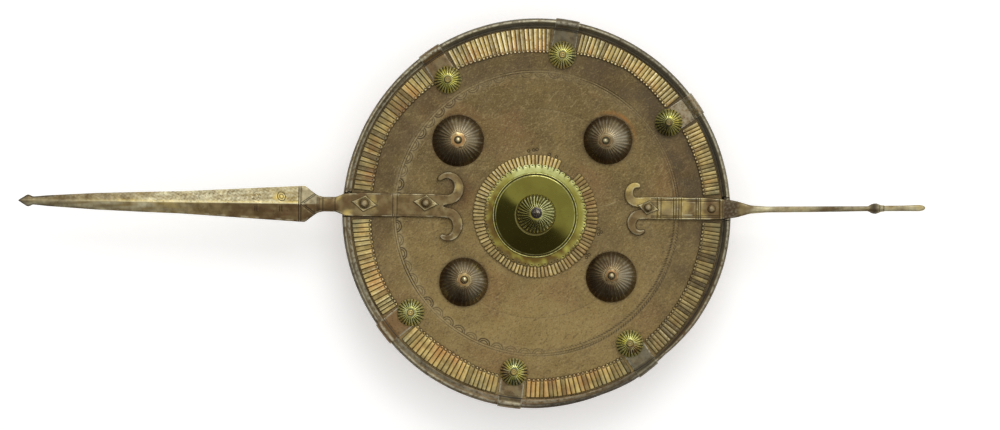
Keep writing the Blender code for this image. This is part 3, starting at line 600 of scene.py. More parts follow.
# Where the lost rays left marks: first and last angle, and the span of radii.
LOST_RAYS = (math.radians(26), math.radians(66))
LOST_RAY_SPAN = (50.0, 58.5)
RAYS = 95
RAY_PITCH = TURN / RAYS
# The stain at the upper right boss: the middle of its arc, how far it reaches, its radius and its width.
STAIN_SIDE, STAIN_REACH = math.radians(55), math.radians(80)
STAIN_RADIUS, STAIN_WIDTH = 25.2, 2.6


def scallops(radius, angle):
    """The two nested arcs of each scallop, hung from the dotted line toward the centre."""
    along = ((angle / SCALLOP_PITCH) % 1 - 0.5) * SCALLOP_PITCH * TOOLED[0]
    down = TOOLED[0] - radius
    hung = down > -0.2
    arcs = [bump(np.hypot(along / half_width, np.maximum(down, 0) / drop), 1, softness)
            for half_width, drop, softness in SCALLOP_ARCS]
    worn = 0.87 + 0.3 * np.sin(37 * np.floor(angle / SCALLOP_PITCH) ** 2)
    return hung * np.maximum(*arcs) * np.minimum(worn, 1.0)


def rope(radius, angle):
    """A band of two rows of short slanted strokes."""
    across = radius - ROPE_MIDDLE
    stroke = 0.5 + 0.5 * np.cos(TURN * (angle * ROPE_ROUND + np.abs(across) * 0.9) / ROPE_PITCH)
    rows = bump(np.abs(across), ROPE_ROW, ROPE_ROW)
    return rows * (0.25 + 0.75 * stroke)


def tooling(points):
    """How deep the tools pressed the leather at each point, 0 to 1."""
    radius, angle = polar(points)
    dots = 0.78 + 0.22 * np.cos(angle * TOOLED[0] * TURN / DOT_PITCH)
    lines = sum(bump(radius, r, 0.75) for r in TOOLED) * dots
    depth = np.maximum(lines * (0.75 + 0.25 * ripple(points, 60, 3)), 0)
    depth = np.maximum(depth, scallops(radius, angle) * by_angle(angle, SCALLOP_DEPTH))
    depth = np.maximum(depth, rope(radius, angle) * by_angle(angle, ROPE_DEPTH))
    depth = np.maximum(depth, 0.28 * bump(radius, INNER_LINE, 0.9))
    for place in STAMPS:
        away = np.linalg.norm(points - place, axis=1)
        depth = np.maximum(depth, bump(away, STAMP_RADIUS, 0.75))
    return depth


def lost_ray_marks(points, ray_middle):
    """Faint radial marks on the leather where the rays lay that have broken away."""
    radius, angle = polar(points - ray_middle)
    stripe = 0.5 + 0.5 * np.cos(angle * TURN / RAY_PITCH)
    first, last = LOST_RAYS
    span = smoothstep(first, first + 0.1, angle) * (1 - smoothstep(last - 0.05, last, angle))
    reach = bump(radius, sum(LOST_RAY_SPAN) / 2, 6.0)
    return stripe * span * reach


def face_fields(points):
    """Relief in millimetres and colour fields of the leather's face, from points about its centre."""
    pressed = tooling(points)
    marks = lost_ray_marks(points, middle_of("ray_ring")[:2] - CENTRE)
    relief = 0.28 * ripple(points, 75, 1) + 0.06 * ripple(points, 13, 2) - 0.5 * pressed - 0.2 * marks
    tool = np.maximum(pressed, 0.35 * marks)
    stain = np.zeros(len(points))
    for name in BOSSES:  # the leather is pressed down and darkened round each boss
        away, around_boss = polar(points - (middle_of(f"boss_{name}")[:2] - CENTRE))
        relief -= 0.35 * bump(away, 24.5, 4.0)
        tool = np.maximum(tool, 0.5 * bump(away, 22.5, 3.0))
        if name == "upper_right":
            side = bump((around_boss - STAIN_SIDE + math.pi) % TURN, math.pi, STAIN_REACH)
            stain = side * bump(away, STAIN_RADIUS, STAIN_WIDTH)
    radius, angle = polar(points)
    dust_and_highlight = 0.8 * bump(radius, 129.0, 7.0) * by_angle(angle, TOOLING_DUST) * (1 - pressed)
    dust_and_highlight = np.maximum(dust_and_highlight, 0.35 * bump(radius, sum(TOOLED) / 2, 0.6))
    # Painted highlight on the lip of each pressed line that faces the light, carried in the pale field with
    # the dust.
    lit_lips = np.clip(tooling(points + LIP_SIDE) - 1.2 * pressed, 0, 1)
    dust_and_highlight = np.maximum(dust_and_highlight, 0.6 * lit_lips * (0.6 + 0.5 * ripple(points, 8, 12)))
    pale = np.maximum(dust_and_highlight, 0.75 * bump(distance_to(points, SCRATCH), 0, 0.7))
    outside = smoothstep(131.5, 134.5, radius)
    ring = outside * by_angle(angle, BORDER_AGE) + (1 - outside) * by_angle(angle, MIDDLE_AGE)
    patch = bump(np.hypot(*(points - DARK_PATCH).T), 0, DARK_PATCH_RADIUS)
    ring, stain = ring + 0.8 * patch, np.maximum(stain, 0.22 * patch)
    return relief, {"tool": tool, "ring": ring, "stain": stain, "pale": pale}


def rings_of(radii, spacing):
    """Flat points round circles, each with points about the spacing apart, and staggered."""
    made = []
    for i, radius in enumerate(radii):
        count = max(1, round(TURN * radius / spacing))
        angle = (np.arange(count) + 0.5 * (i % 2)) * TURN / count
        made.append(np.column_stack([radius * np.cos(angle), radius * np.sin(angle)]))
    return np.vstack(made)


def lost_ray_points():
    """Closer points over the marks of the lost rays, about the disc's centre."""
    middle = middle_of("ray_ring")[:2] - CENTRE
    radii = np.linspace(LOST_RAY_SPAN[0] - 1, LOST_RAY_SPAN[1] + 1, 9)
    angles = np.linspace(*LOST_RAYS, 70)
    return around(radii[:, None], angles[None, :], 0.0)[..., :2].reshape(-1, 2) + middle


def leather_disc_shell():
    """The board: its face with points close together where it is tooled, its plain back and its edge."""
    edge = DISC_RADIUS
    outline = rings_of([edge], 2.0)
    coarse = np.concatenate([np.arange(0, 122.6, 2.3), np.arange(136.5, edge - 1, 2.5)])
    fine = np.arange(123.4, 135.6, 0.46)
    extra = np.vstack([
        rings_of(INNER_LINE + np.array([-0.8, 0, 0.8]), 2.0),
        beside(subdivided(SCRATCH, 0.6), (-0.6, 0, 0.6)),
        *(rings_of([0.01, 0.6, 1.2, 1.8, 2.4], 0.6) + place for place in STAMPS),
        lost_ray_points(), rings_of(fine, 0.56),
    ])
    filling = spread(rings_of(coarse, 2.4), extra, 1.2)
    flat, faces, first = triangulated(np.vstack([outline, extra, filling]), len(outline))
    relief, fields = face_fields(flat)
    border = first < len(outline)
    top = FACE + np.where(border, 0, relief)
    under = rings_of(np.arange(0, edge - 2, 3.6), 3.6)
    low, low_faces, low_first = triangulated(np.vstack([outline, under]), len(outline))
    back_relief = 0.2 * ripple(low, 60, 5) + 0.35 * bump(polar(low)[0], 162, 3.0)
    bottom = BACK - np.where(low_first < len(outline), 0, back_relief)
    face = Shell(np.column_stack([flat, top]), faces, fields)
    back = Shell(np.column_stack([low, bottom]), low_faces[:, [0, 2, 1, 1]], {"back": np.ones(len(low))})
    wall = np.stack([np.column_stack([outline, np.full(len(outline), z)]) for z in (FACE, BACK)])
    return joined([face, back, grid_shell(wall, close_columns=True)])


# ---------------------------------------------------------------- rim and clips

RIM_INNER = 171.8
CLIP_HALF = 11.0
CLIP_INNER = 144.5
CLIP_THICKNESS = 0.9
# The rim was hammered out of round: its outer radius less the true one, by angle.
RIM_BULGE = ((5, -0.5), (45, 0), (85, 0.3), (120, 0), (140, -1.0), (158, -1.4), (180, -0.2), (215, 0),
             (235, 1.0), (255, 1.0), (270, 0.5), (290, -1.5), (300, -1.0), (312, -3.0), (325, -1.0),
             (345, 0))
# How dark the rim's inner slope is made, by angle: dirt, and painted shade on the top and right, which face
# away from the light; and how dark its outer one is, with dirt and painted shade, darkest at the bottom.
RIM_INNER_DIRT_AND_SHADE = ((5, 0.9), (45, 0.8), (70, 0.75), (115, 0.85), (130, 0.1), (160, 0.0), (210, 0.1), (240, 0.6),
             (262, 0.3), (290, 0.3), (318, 0.9), (345, 0.9))
RIM_OUTER_DIRT_AND_SHADE = ((15, 0.0), (40, 0.25), (60, 0.35), (80, 0.0), (170, 0.0), (190, 0.3), (215, 0.25), (235, 0.1),
            (258, 0.3), (275, 0.8), (298, 0.75), (312, 0.25), (345, 0.2))
# The rim's tone by angle: brown over 0, grey under it.
RIM_TONES = ((20, -0.5), (85, -0.5), (110, -0.35), (150, 0.1), (240, 0.5), (285, 0.5), (330, 0.0))
# The rim's outer side: how far out from its inner edge, and how high over the leather's face or its back.
RIM_FRONT = ((0, 0.35), (0.1, 0.9), (0.7, 1.3), (1.5, 1.55), (2.2, 1.95), (3.2, 2.85), (4.4, 3.8), (5.6, 4.2),
             (6.7, 3.75), (7.6, 2.5), (8.1, 0.7), (8.2, -2.5))
RIM_BEHIND = ((8.2, 2.4), (7.8, 0.5), (6.8, -0.9), (5.2, -1.55), (3.0, -1.6), (1.0, -1.5), (0.4, -0.9))
RIM_SIDES = 900
UNDER_STRAP = 0.05  # the rim's height over the face where a strap was let into it


def rim_profile():
    """(radius, height over the face) of the rim's outer side, from the lip on the face to the one behind."""
    behind = [(out, BACK - FACE + height) for out, height in RIM_BEHIND]
    return [(RIM_INNER + out, height) for out, height in (*RIM_FRONT, *behind)]


def smooth_path(path, parts):
    """A Catmull-Rom curve through the path's points, with so many parts between each two."""
    path = np.asarray(path, float)
    around_ends = np.vstack([2 * path[0] - path[1], path, 2 * path[-1] - path[-2]])
    made = []
    for p0, p1, p2, p3 in zip(around_ends, around_ends[1:], around_ends[2:], around_ends[3:]):
        for t in np.arange(parts) / parts:
            made.append(0.5 * (2 * p1 + (p2 - p0) * t + (2 * p0 - 5 * p1 + 4 * p2 - p3) * t**2
                               + (3 * p1 - p0 - 3 * p2 + p3) * t**3))
    return np.vstack(made + [path[-1]])


def bulged(points):
    """Points about the centre moved out or in as the rim was hammered, none at its inner edge."""
    radius, angle = polar(points)
    share = smoothstep(RIM_INNER - 1.0, RIM_RADIUS, radius)
    push = share * by_angle(angle, RIM_BULGE) / np.maximum(radius, 1)
    return points * np.stack([1 + push, 1 + push, 1 + 0 * push], axis=-1)


def under_strap(points, side, half):
    """Whether each point lies within the half width of the strap that crosses the rim on that side."""
    cos, sin = math.cos(ARM_LEAN), math.sin(ARM_LEAN)
    across = -sin * points[..., 0] + cos * (points[..., 1] - ARM_OFFSET)
    return (points[..., 0] * side > 0) & (np.abs(across) < half)


def build_rim(finishes):
    outer = smooth_path(rim_profile(), 2)
    inner = [(RIM_INNER + 0.4, BACK - FACE - 0.3), (DISC_RADIUS, BACK - FACE - 0.3), (DISC_RADIUS, 0.3)]
    profile = np.vstack([outer, inner])
    reach, height = profile[:, :1] - RIM_INNER, profile[:, 1:]
    angles = angles_round(RIM_SIDES)
    points = around(profile[:, :1], angles[None, :], height)
    dents = 0.14 * ripple(points, 26, 7) + 0.05 * ripple(points, 7, 8)
    points[..., 2] += smoothstep(0.3, 2.0, points[..., 2]) * dents
    points = bulged(points)
    for side, half in ((DAGGER, DAGGER_STRAP_HALF), (ROD, ROD_STRAP_HALF)):
        lowered = np.minimum(points[..., 2], UNDER_STRAP)
        points[..., 2] = np.where(under_strap(points, side, half + 0.5), lowered, points[..., 2])
    points[..., 2] += FACE
    # The inner slope is darkened by dirt and by painted shade on the top and right, which face away from the
    # light. The rim also gets a dark foot by the leather, a painted dark line of shade along its steep outer
    # edge, and dirt and painted shade on its outer slope, darkest at the bottom.
    soiled_and_shaded = by_angle(angles, RIM_INNER_DIRT_AND_SHADE)
    grime = np.maximum.reduce([
        soiled_and_shaded * bump(reach, 1.9, 2.4) * (height > 0),
        0.6 * (1 - smoothstep(0.2, 0.9, height)) * (reach < 1) + 0 * soiled_and_shaded,
        0.7 * bump(reach, 8.1, 0.9) * (height > -1) + 0 * soiled_and_shaded,
        by_angle(angles, RIM_OUTER_DIRT_AND_SHADE) * smoothstep(3.6, 4.6, reach) * (height > -1),
    ])
    # A rubbed crest, and a painted highlight on the inner slope where it faces the light, on the left and
    # bottom.
    wear = bump(reach, 5.8, 1.5) * (height > 2) + (1 - soiled_and_shaded) * bump(reach, 2.4, 2.2) * (height > 0.8)
    tone = 0.3 * ripple(points, 90, 9) + by_angle(angles, RIM_TONES)
    fields = {"grime": grime, "wear": wear, "tone": np.clip(tone, -1, 1)}
    shell = grid_shell(points, fields, close_rows=True, close_columns=True)
    make_piece("rim_rolled", placed(shell, *CENTRE), finishes["rim_iron"], ["rim"])


# Each clip's tone from brown (1) to grey-green (-1), how dark it is over the rim, and how dark or, under 0,
# how rubbed it is all over.
CLIP_TONES = ((0.2, 0.2, -0.4), (-0.6, 0.0, 0.3), (0.3, 0.0, 0.1), (0.8, 0.1, 0.0), (0.0, 0.12, 0.05),
              (-0.8, 0.2, 0.1))
# Places of the points across a clip, as shares of its half width.
CLIP_COLUMNS = (-1, -0.985, -0.94, -0.85, -0.6, -0.3, 0, 0.3, 0.6, 0.85, 0.94, 0.985, 1)


def clip_path():
    """(radius, height over the face) of a clip's near side, from the face round the rim to the back."""
    rim = smooth_path(rim_profile()[2:-1], 2)
    low = BACK - FACE
    front = [(CLIP_INNER, 0.3), (150, 0.3), (158, 0.3), (166, 0.3), (170.3, 0.4), (171.2, 1.2)]
    behind = [(171.0, low - 1.6), (169, low - 0.6), (160, low - 0.3), (CLIP_INNER, low - 0.3)]
    return np.vstack([front, rim + 0.3 * side_of(rim), behind])


def build_clips(finishes):
    near = clip_path()
    far = near + side_of(near) * CLIP_THICKNESS
    loop = np.vstack([near, far[::-1]])
    outer = np.arange(len(loop)) >= len(near)
    across = CLIP_HALF * np.array(CLIP_COLUMNS)
    edge = smoothstep(0.9, 1.0, np.abs(across) / CLIP_HALF)
    radius, height = loop[:, :1] - 0 * across, loop[:, 1:] - 0 * across
    over_rim = smoothstep(RIM_INNER - 0.5, RIM_INNER + 1.5, radius)
    for number, (tone, dark, dull) in zip(CLIPS, CLIP_TONES):
        points = np.stack([np.sqrt(radius**2 - across**2), across + 0 * radius, height], axis=-1)
        points[outer, :, 2] -= 0.35 * edge
        points[outer, 2:-2, 2] += 0.12 * ripple(points[outer, 2:-2], 9, 20 + number)
        points = (points.reshape(-1, 3) @ spin(stud_angle(number))).reshape(points.shape)
        points = bulged(points)
        points[..., 2] += FACE
        in_corner = 0.9 * bump(radius, RIM_INNER + 0.2, 1.2) * (height > 0)
        on_bead = (1.2 - 4 * dark) * bump(radius, RIM_INNER + 5.4, 2.6)
        fields = {
            "grime": np.clip(dark * over_rim + dull + in_corner, 0, 1),
            "wear": np.maximum.reduce([1.3 * edge + 0 * radius, on_bead, -dull + 0 * radius]),
            "tone": tone + 0.15 + 0.25 * ripple(points, 7, 30 + number),
            "pits": np.full(radius.shape, 0.9),
        }
        shell = placed(grid_shell(points, fields, close_rows=True, caps=True), *CENTRE)
        make_piece(f"clip_{number}", shell, finishes["rim_iron"], [f"rim_clip_{number}"])


# ---------------------------------------------------------------- fluted strips

BAND_OUTER = 171.0
BAND_CLEARANCE = 1.2  # from a strip's end to the clip or strap beside it
STRIP_LOW, STRIP_HIGH = 0.45, 1.7  # of the grooves and the flutes, over the strip's underside
TONGUE = 1.5  # how far each flute's rounded inner end stands out
# Each strip was punched by hand: the pitch of its flutes in degrees, and its inner radius at three places.
STRIP_FORMS = ((1.28, 154.5, 154.3, 154.3), (1.33, 153.5, 156.0, 151.0), (1.47, 148.0, 148.6, 151.0),
               (1.51, 151.2, 155.0, 151.8), (1.45, 152.2, 154.0, 153.0), (1.52, 150.4, 149.8, 153.0),
               (1.41, 153.0, 152.4, 154.0), (1.30, 154.0, 153.5, 153.0))
# Colour along the strips, by angle: warm copper over 0, dull grey-green under it.
STRIP_TONES = ((5, -0.6), (13, -0.5), (16, 0), (29, 0.1), (39, -0.3), (46, 0), (60, 0.1), (64, -0.35),
               (76, -0.5), (84, 0.35), (97, 0.4), (102, 0.1), (114, 0.1), (118, -0.8), (127, -0.9),
               (132, -0.6), (136, 0.65), (143, 0.4), (146, 0), (165, 0), (169, 0.7), (173, -0.2),
               (182, -0.8), (188, -0.5), (191, 0), (197, 0.1), (200, 0.8), (208, 0.6), (209, -0.8),
               (215, -0.9), (222, -0.5), (227, 0.2), (235, 0.6), (244, 0.3), (248, -0.2), (257, -0.6),
               (265, 0.7), (275, 0.75), (290, 0.45), (296, 0), (299, -0.7), (308, -0.4), (320, -0.2),
               (340, -0.3), (358, -0.5))
# How dull the strips are, by angle.
STRIP_DULL = ((8, 0.15), (33, 0.1), (38, 0), (120, 0), (145, 0.25), (170, 0.3), (185, 0.0), (240, 0.0),
              (295, 0.05), (308, 0.35), (345, 0.4), (358, 0.25))
# How bright the painted highlight along one side of each flute's crest is, by angle, with some polish from
# rubbing.
STRIP_GLINTS = ((20, 0.3), (36, 1.0), (46, 0.9), (54, 0.5), (80, 0.8), (95, 1.7), (112, 1.9), (124, 0.3),
                (158, 0.35), (185, 0.3), (200, 0.6), (225, 0.2), (240, 0.2), (300, 0.1), (312, 0.3),
                (318, 1.0), (323, 0.4), (350, 0.1))
# Rows of points across a strip: so far from its inner end, and then from its outer one.
STRIP_ROWS = (0, 0.2, 0.5, 0.8, 1.1, 1.4, 1.75, 2.1, 2.6, 3.4, 4.8, 6.6, 8.8, 11.2, 13.6)
STRIP_LAST_ROWS = (1.1, 0.6, 0.25, 0)
STRIP_LENGTH = 16.0  # of a flute that has the first rows as far apart as they say
STRIP_MIDDLE = 162.5
# Places of the points across a flute, from one groove to the next.
FLUTE_STEPS = np.array([0, 0.05, 0.12, 0.2, 0.3, 0.4, 0.5, 0.6, 0.7, 0.8, 0.88, 0.95])


def strip_spans():
    """(start, end) angles of the strips, between the clips and the arms, from +X round."""
    narrowest = min(min(form[1:]) for form in STRIP_FORMS)
    stops = [(stud_angle(n), CLIP_HALF) for n in CLIPS]
    for side, half in ((ROD, ROD_STRAP_HALF), (DAGGER, DAGGER_STRAP_HALF)):
        reach = side * (narrowest + BAND_OUTER) / 2
        stops.append((math.atan2(ARM_OFFSET + reach * math.sin(ARM_LEAN), reach) % TURN, half))
    stops = [(angle, math.asin((half + BAND_CLEARANCE) / narrowest)) for angle, half in sorted(stops)]
    following = stops[1:] + [(stops[0][0] + TURN, stops[0][1])]
    return [(a + half, b - other) for (a, half), (b, other) in zip(stops, following)]


def uneven_edges(start, end, pitch, rng, unevenness):
    """Where one flute ends and the next begins, from the start to the end."""
    count = round((end - start) / pitch)
    widths = 1 + unevenness * rng.uniform(-1, 1, count)
    return start + (end - start) * np.concatenate([[0], np.cumsum(widths)]) / widths.sum()


def flute_columns(edges, steps=FLUTE_STEPS):
    """Angles across all flutes, each point's place in its flute (0 to 1) and its flute's number."""
    number = np.repeat(np.arange(len(edges) - 1), len(steps))
    place = np.tile(steps, len(edges) - 1)
    angle = edges[number] + np.diff(edges)[number] * place
    return np.append(angle, edges[-1]), np.append(place, 0.0), np.append(number, len(edges) - 2)


def ring_columns(count, rng, unevenness, steps):
    """The edges of flutes all round, and flute_columns of them without the last, which is the first again."""
    edges = uneven_edges(0.0, TURN, TURN / count, rng, unevenness)
    return edges, *(values[:-1] for values in flute_columns(edges, steps))


def strip_shell(start, end, form, seed):
    rng = np.random.default_rng(seed)
    pitch, *inner = form
    edges = uneven_edges(start, end, math.radians(pitch), rng, 0.14)
    angle, place, number = flute_columns(edges)

    def differing(low, high):
        """A random value for each flute, at all its columns."""
        return rng.uniform(low, high, len(edges))[number]

    off_middle = np.abs(2 * place - 1)
    heights = differing(0.8, 1.12)
    tongue = TONGUE * (1 - np.sqrt(1 - np.minimum(off_middle, 0.999) ** 2))
    inner_radius = np.interp(angle, np.linspace(start, end, 3), inner) + differing(-0.25, 0.25) + tongue
    outer = BAND_OUTER - 0.25 * np.abs(np.sin(7 * angle))
    rows = np.vstack([
        inner_radius + np.array(STRIP_ROWS)[:, None] * np.minimum(1, (outer - inner_radius) / STRIP_LENGTH),
        outer - np.array(STRIP_LAST_ROWS)[:, None],
    ])
    from_inner, from_outer = rows - rows[:1], rows[-1:] - rows
    ends = np.sqrt(smoothstep(-0.25, 0.9, from_inner) * smoothstep(-0.25, 0.7, from_outer))
    crest = np.sqrt(np.clip(1 - off_middle**5.0, 0, 1))

    # A small dot punched into each tongue, with a moat round it.
    dot_middle = (inner_radius - tongue) + 1.35
    dot_away = np.hypot(rows - dot_middle, (place - 0.5) * np.diff(edges)[number] * rows)
    dot_away = np.where(off_middle < 0.95, dot_away, 9.0)
    dot, moat = bump(dot_away, 0, 0.85), bump(dot_away, 1.3, 0.6)
    top = STRIP_LOW + (STRIP_HIGH - STRIP_LOW) * heights * crest * ends + 0.2 * dot - 0.35 * moat
    neck = 0.25 * bump(from_inner, 2.9, 0.7)
    top = np.maximum(top - neck, 0.2)

    # The flutes lean to one side or the other, apart from those at the strip's ends.
    height = np.vstack([0 * angle, top, 0 * angle])
    radius = np.vstack([rows[:1], rows, rows[-1:]])
    free = np.abs(edges - (start + end) / 2) < 0.48 * (end - start)
    lean = rng.uniform(-0.5, 0.5, len(edges)) * free
    lean = lean[number] + np.append(np.diff(lean), 0)[number] * place
    slanted = angle[None, :] + lean * (radius - STRIP_MIDDLE) / 8.5 / radius
    points = around(radius, slanted, FACE + 0.3 + height)

    dull = 0.45 * differing(0, 1) ** 3 + by_angle(angle, STRIP_DULL)
    # Dirt in the grooves, moats and dull flutes; the dark at both ends of each strip is painted shade, where
    # it meets the leather and where it goes under the rim.
    grime = np.maximum.reduce([
        smoothstep(0.84, 1.0, off_middle) + 0 * rows, moat, dull + 0 * rows,
        1 - smoothstep(0.1, 0.5, from_outer), 1 - smoothstep(0.15, 0.5, from_inner),
    ])
    # A painted highlight along one side of each flute's crest, with some polish, and the punched dot in the
    # glint colour.
    rubbed = bump(2 * place - 1, 0.3, 0.45) * by_angle(angle, STRIP_GLINTS)
    wear = rubbed * differing(0.3, 2.0) + 0.8 * dot
    tone = 0.6 * by_angle(angle, STRIP_TONES) + differing(-0.2, 0.2) + 0.12 * (1 - smoothstep(154, 162, rows))
    tone -= 0.35 * smoothstep(161, 170, rows)
    tone = np.clip(tone + 0.2 * ripple(points[1:-1], 14, seed), -0.9, 0.75)
    fields = ends_repeated({"grime": grime, "wear": wear, "tone": tone})
    return grid_shell(points, fields, close_rows=True, caps=True)


def build_strips(finishes):
    for number, span, form in zip(STRIPS, strip_spans(), STRIP_FORMS):
        shell = placed(strip_shell(*span, form, 40 + number), *CENTRE)
        node = f"fluted_strip_{number}"
        make_piece(f"strip_{number}", shell, finishes["gilt_copper"], [node], 50)


# ---------------------------------------------------------------- fluted domes and their bolts

DOME_STEPS = np.arange(8) / 8
SHANK_RADIUS, PEEN_RADIUS = 1.7, 4.0


def sharp(off_middle):
    """Narrow crests with wide hollows between them."""
    return (1 - off_middle) ** 1.1


def plump(off_middle):
    """Round flutes with narrow grooves between them."""
    return 0.5 + 0.5 * np.cos(math.pi * off_middle**1.3)


def shank(low, seat, peen=PEEN_RADIUS):
    """(radius, height, flute depth) rows from the axis, round the peened end and up the shank to the seat."""
    return [(0.01, low, 0), (0.5 * peen, low + 0.15, 0), (0.85 * peen, low + 0.7, 0), (peen, low + 1.5, 0),
            (0.96 * peen, low + 1.8, 0), (SHANK_RADIUS, low + 1.8, 0), (SHANK_RADIUS, seat, 0)]


def fluted_shell(rows, flutes, shape, seed, swirl=0.0, closed=False, soiled_and_shaded=(0.08, 0.32), rubbed=(0.5, 0.8)):
    """A turned body with flutes. Its rows are (radius, height, depth of the grooves). The soiled and rubbed
    ranges give how high on the crests the dirt and painted shade end and the polish starts, each with its
    first and last height."""
    rows = np.asarray(rows, float)
    rng = np.random.default_rng(seed)
    _, angle, place, number = ring_columns(flutes, rng, 0.07, DOME_STEPS)
    crest = shape(np.abs(2 * place - 1))
    side = side_of(rows[:, :2])
    depth = rows[:, 2:] * rng.uniform(0.85, 1.1, flutes)[number]
    sunk = depth * (1 - crest)
    radius = rows[:, :1] + side[:, :1] * sunk
    height = rows[:, 1:2] + side[:, 1:] * sunk
    turn = swirl * (1 - rows[:, :1] / rows[:, 0].max())
    points = around(np.maximum(radius, 0.01), angle + turn, height)
    fluted = np.minimum(1, rows[:, 2:] / 0.4)
    fields = {
        "grime": fluted * (1 - smoothstep(*soiled_and_shaded, crest)),
        "wear": fluted * smoothstep(*rubbed, crest) * rng.uniform(0.5, 1.3, flutes)[number],
        "tone": np.clip(0.5 * ripple(points, 20, seed), -1, 1),
    }
    return grid_shell(points, fields, close_rows=closed, close_columns=True)


def smooth_rows(rows, parts):
    """A smooth path through the rows that crosses neither the axis nor a depth of 0."""
    return np.maximum(smooth_path(rows, parts), [0, -1e9, 0])


# Each stud is turned on from the one before it by the first angle, and each boss by the second.
STUD_TURN, BOSS_TURN = 0.4, 0.3
STUD_FLUTES, BOSS_FLUTES = 24, 32
STUD_HEIGHT, BOSS_HEIGHT = 8.0, 13.0
STUD_SPREAD = 1.03  # how much wider the studs are than their solids
# How much painted shade lies on each stud's side away from the light, and how dirty its knob is.
STUD_SHADES = (2.1, 0.2, 1.0, 0.0, 0.95, 0.8)
KNOB_GRIMES = (0.65, 0.35, 0.5, 0.3, 0.35, 0.5)
KNOB_RADIUS, KNOB_FOOT = 2.8, 6.0  # the knob's points lie within the one and over the other
# How bright the painted highlights on the crests are, by angle, strongest toward the light: on the studs and,
# below, on each boss and on the bosses' brims.
STUD_HIGHLIGHTS = ((45, 1.0), (110, 0.9), (160, 0.6), (225, 0.3), (290, 0.6))
BRIM_HIGHLIGHTS = ((90, 1), (300, 0.1))
# Each boss: how far its crown lies off its foot, how much wider than their solids it and its bolt's washer
# are, how dull the bolt is, the tone of its ball, and its painted highlight and shade by angle, highest
# toward the light.
Boss = namedtuple("Boss", "lean spread washer_spread bolt_dull ball_tone shine")
BOSS_FORMS = {
    "upper_left": Boss((0.0, 0.4), 1.06, 1.14, 0.0, -0.8,
                       ((10, 0.8), (70, 0.65), (130, 0.3), (200, 0.2), (260, 0.1), (320, 0.5))),
    "upper_right": Boss((-1.9, -0.7), 1.0, 0.98, 0.35, -0.9,
                        ((10, 1.2), (70, 0.75), (130, 0.3), (200, 0.05), (260, 0.05), (320, 0.7))),
    "lower_left": Boss((0.5, 1.9), 1.0, 1.05, 0.0, 0.1,
                       ((10, 1.1), (70, 0.7), (130, 0.3), (200, 0.1), (260, 0.1), (320, 0.7))),
    "lower_right": Boss((0.0, 1.0), 1.04, 0.98, 0.2, -0.5,
                        ((10, 1.1), (60, 0.4), (130, 0.1), (200, 0.05), (260, 0.1), (320, 0.8))),
}
BOSS_HOLE = 2.8  # radius of the hole for its bolt
# (radius, height over the boss) of its bolt's washer, and the ball's radius up and down, and sideways.
WASHER = ((6.2, 0), (6.75, 0.25), (6.8, 0.7), (6.3, 1.15), (5.2, 1.6), (4.2, 1.95), (3.3, 2.1), (2.7, 2.05))
BALL_RADIUS, BALL_WAIST = 3.0, 3.1


def stud_rows(foot):
    """(radius, height, depth of the grooves) of a stud over its seat, from its shank's peened end."""
    dome = [(12.45, 0.5, 0.25), (12.3, 1.1, 0.8), (11.6, 2.3, 1.3), (10.3, 3.9, 1.4), (8.6, 5.2, 1.2),
            (6.7, 6.1, 0.95), (5.0, 6.65, 0.7), (4.0, 6.85, 0.35)]
    knob = [(3.2, 6.7, 0), (2.95, 7.1, 0), (2.75, 7.55, 0), (2.3, 7.85, 0), (1.7, 7.9, 0), (1.25, 7.6, 0),
            (0.9, 7.55, 0), (0.6, 7.9, 0), (0.01, STUD_HEIGHT, 0)]
    brim = [(12.0, 0, 0), (12.4, 0.15, 0.1)]
    return np.vstack([shank(foot, 0.0), brim, smooth_rows(dome, 3), smooth_rows(knob, 2)])


def build_studs(finishes):
    for number, shade, knob_grime in zip(CLIPS, STUD_SHADES, KNOB_GRIMES):
        node = f"brass_stud_{number}"
        low, high = box(node)
        base = high[2] - STUD_HEIGHT
        shell = fluted_shell(stud_rows(low[2] - base), STUD_FLUTES, sharp, 60 + number,
                             soiled_and_shaded=(0.16, 0.46), rubbed=(0.42, 0.65))
        away, angle = axis_places(shell)
        # Painted shade on each stud's side away from the light, and brighter painted highlights on the crests
        # of the side toward it.
        shade = shade * (1 - by_angle(angle + STUD_TURN * number, STUD_HIGHLIGHTS))
        over_dome = shell.points[:, 2] > KNOB_FOOT
        knob_top = (away < KNOB_RADIUS) & over_dome
        fields = shell.fields
        fields["grime"] = (fields["grime"] + np.clip(shade - 0.3, 0, 0.85) * (away > 3)).clip(0, 1)
        fields["grime"] += np.maximum(bump(away, 3.3, 0.7), knob_grime * (away < KNOB_RADIUS)) * over_dome
        fields["tone"] = np.where(knob_top, 0.7, fields["tone"])
        wear = fields["wear"] * (1.4 * np.clip(1 - shade, 0, 1))
        fields["wear"] = np.where(knob_top, 0.5 * (away < 1), wear)
        shell.points[:, :2] *= np.where(away > 5, STUD_SPREAD, 1.0)[:, None]
        shell = placed(shell, *middle_of(node)[:2], base, turn=STUD_TURN * number)
        make_piece(f"stud_{number}", shell, finishes["stud_brass"], [node], 60)


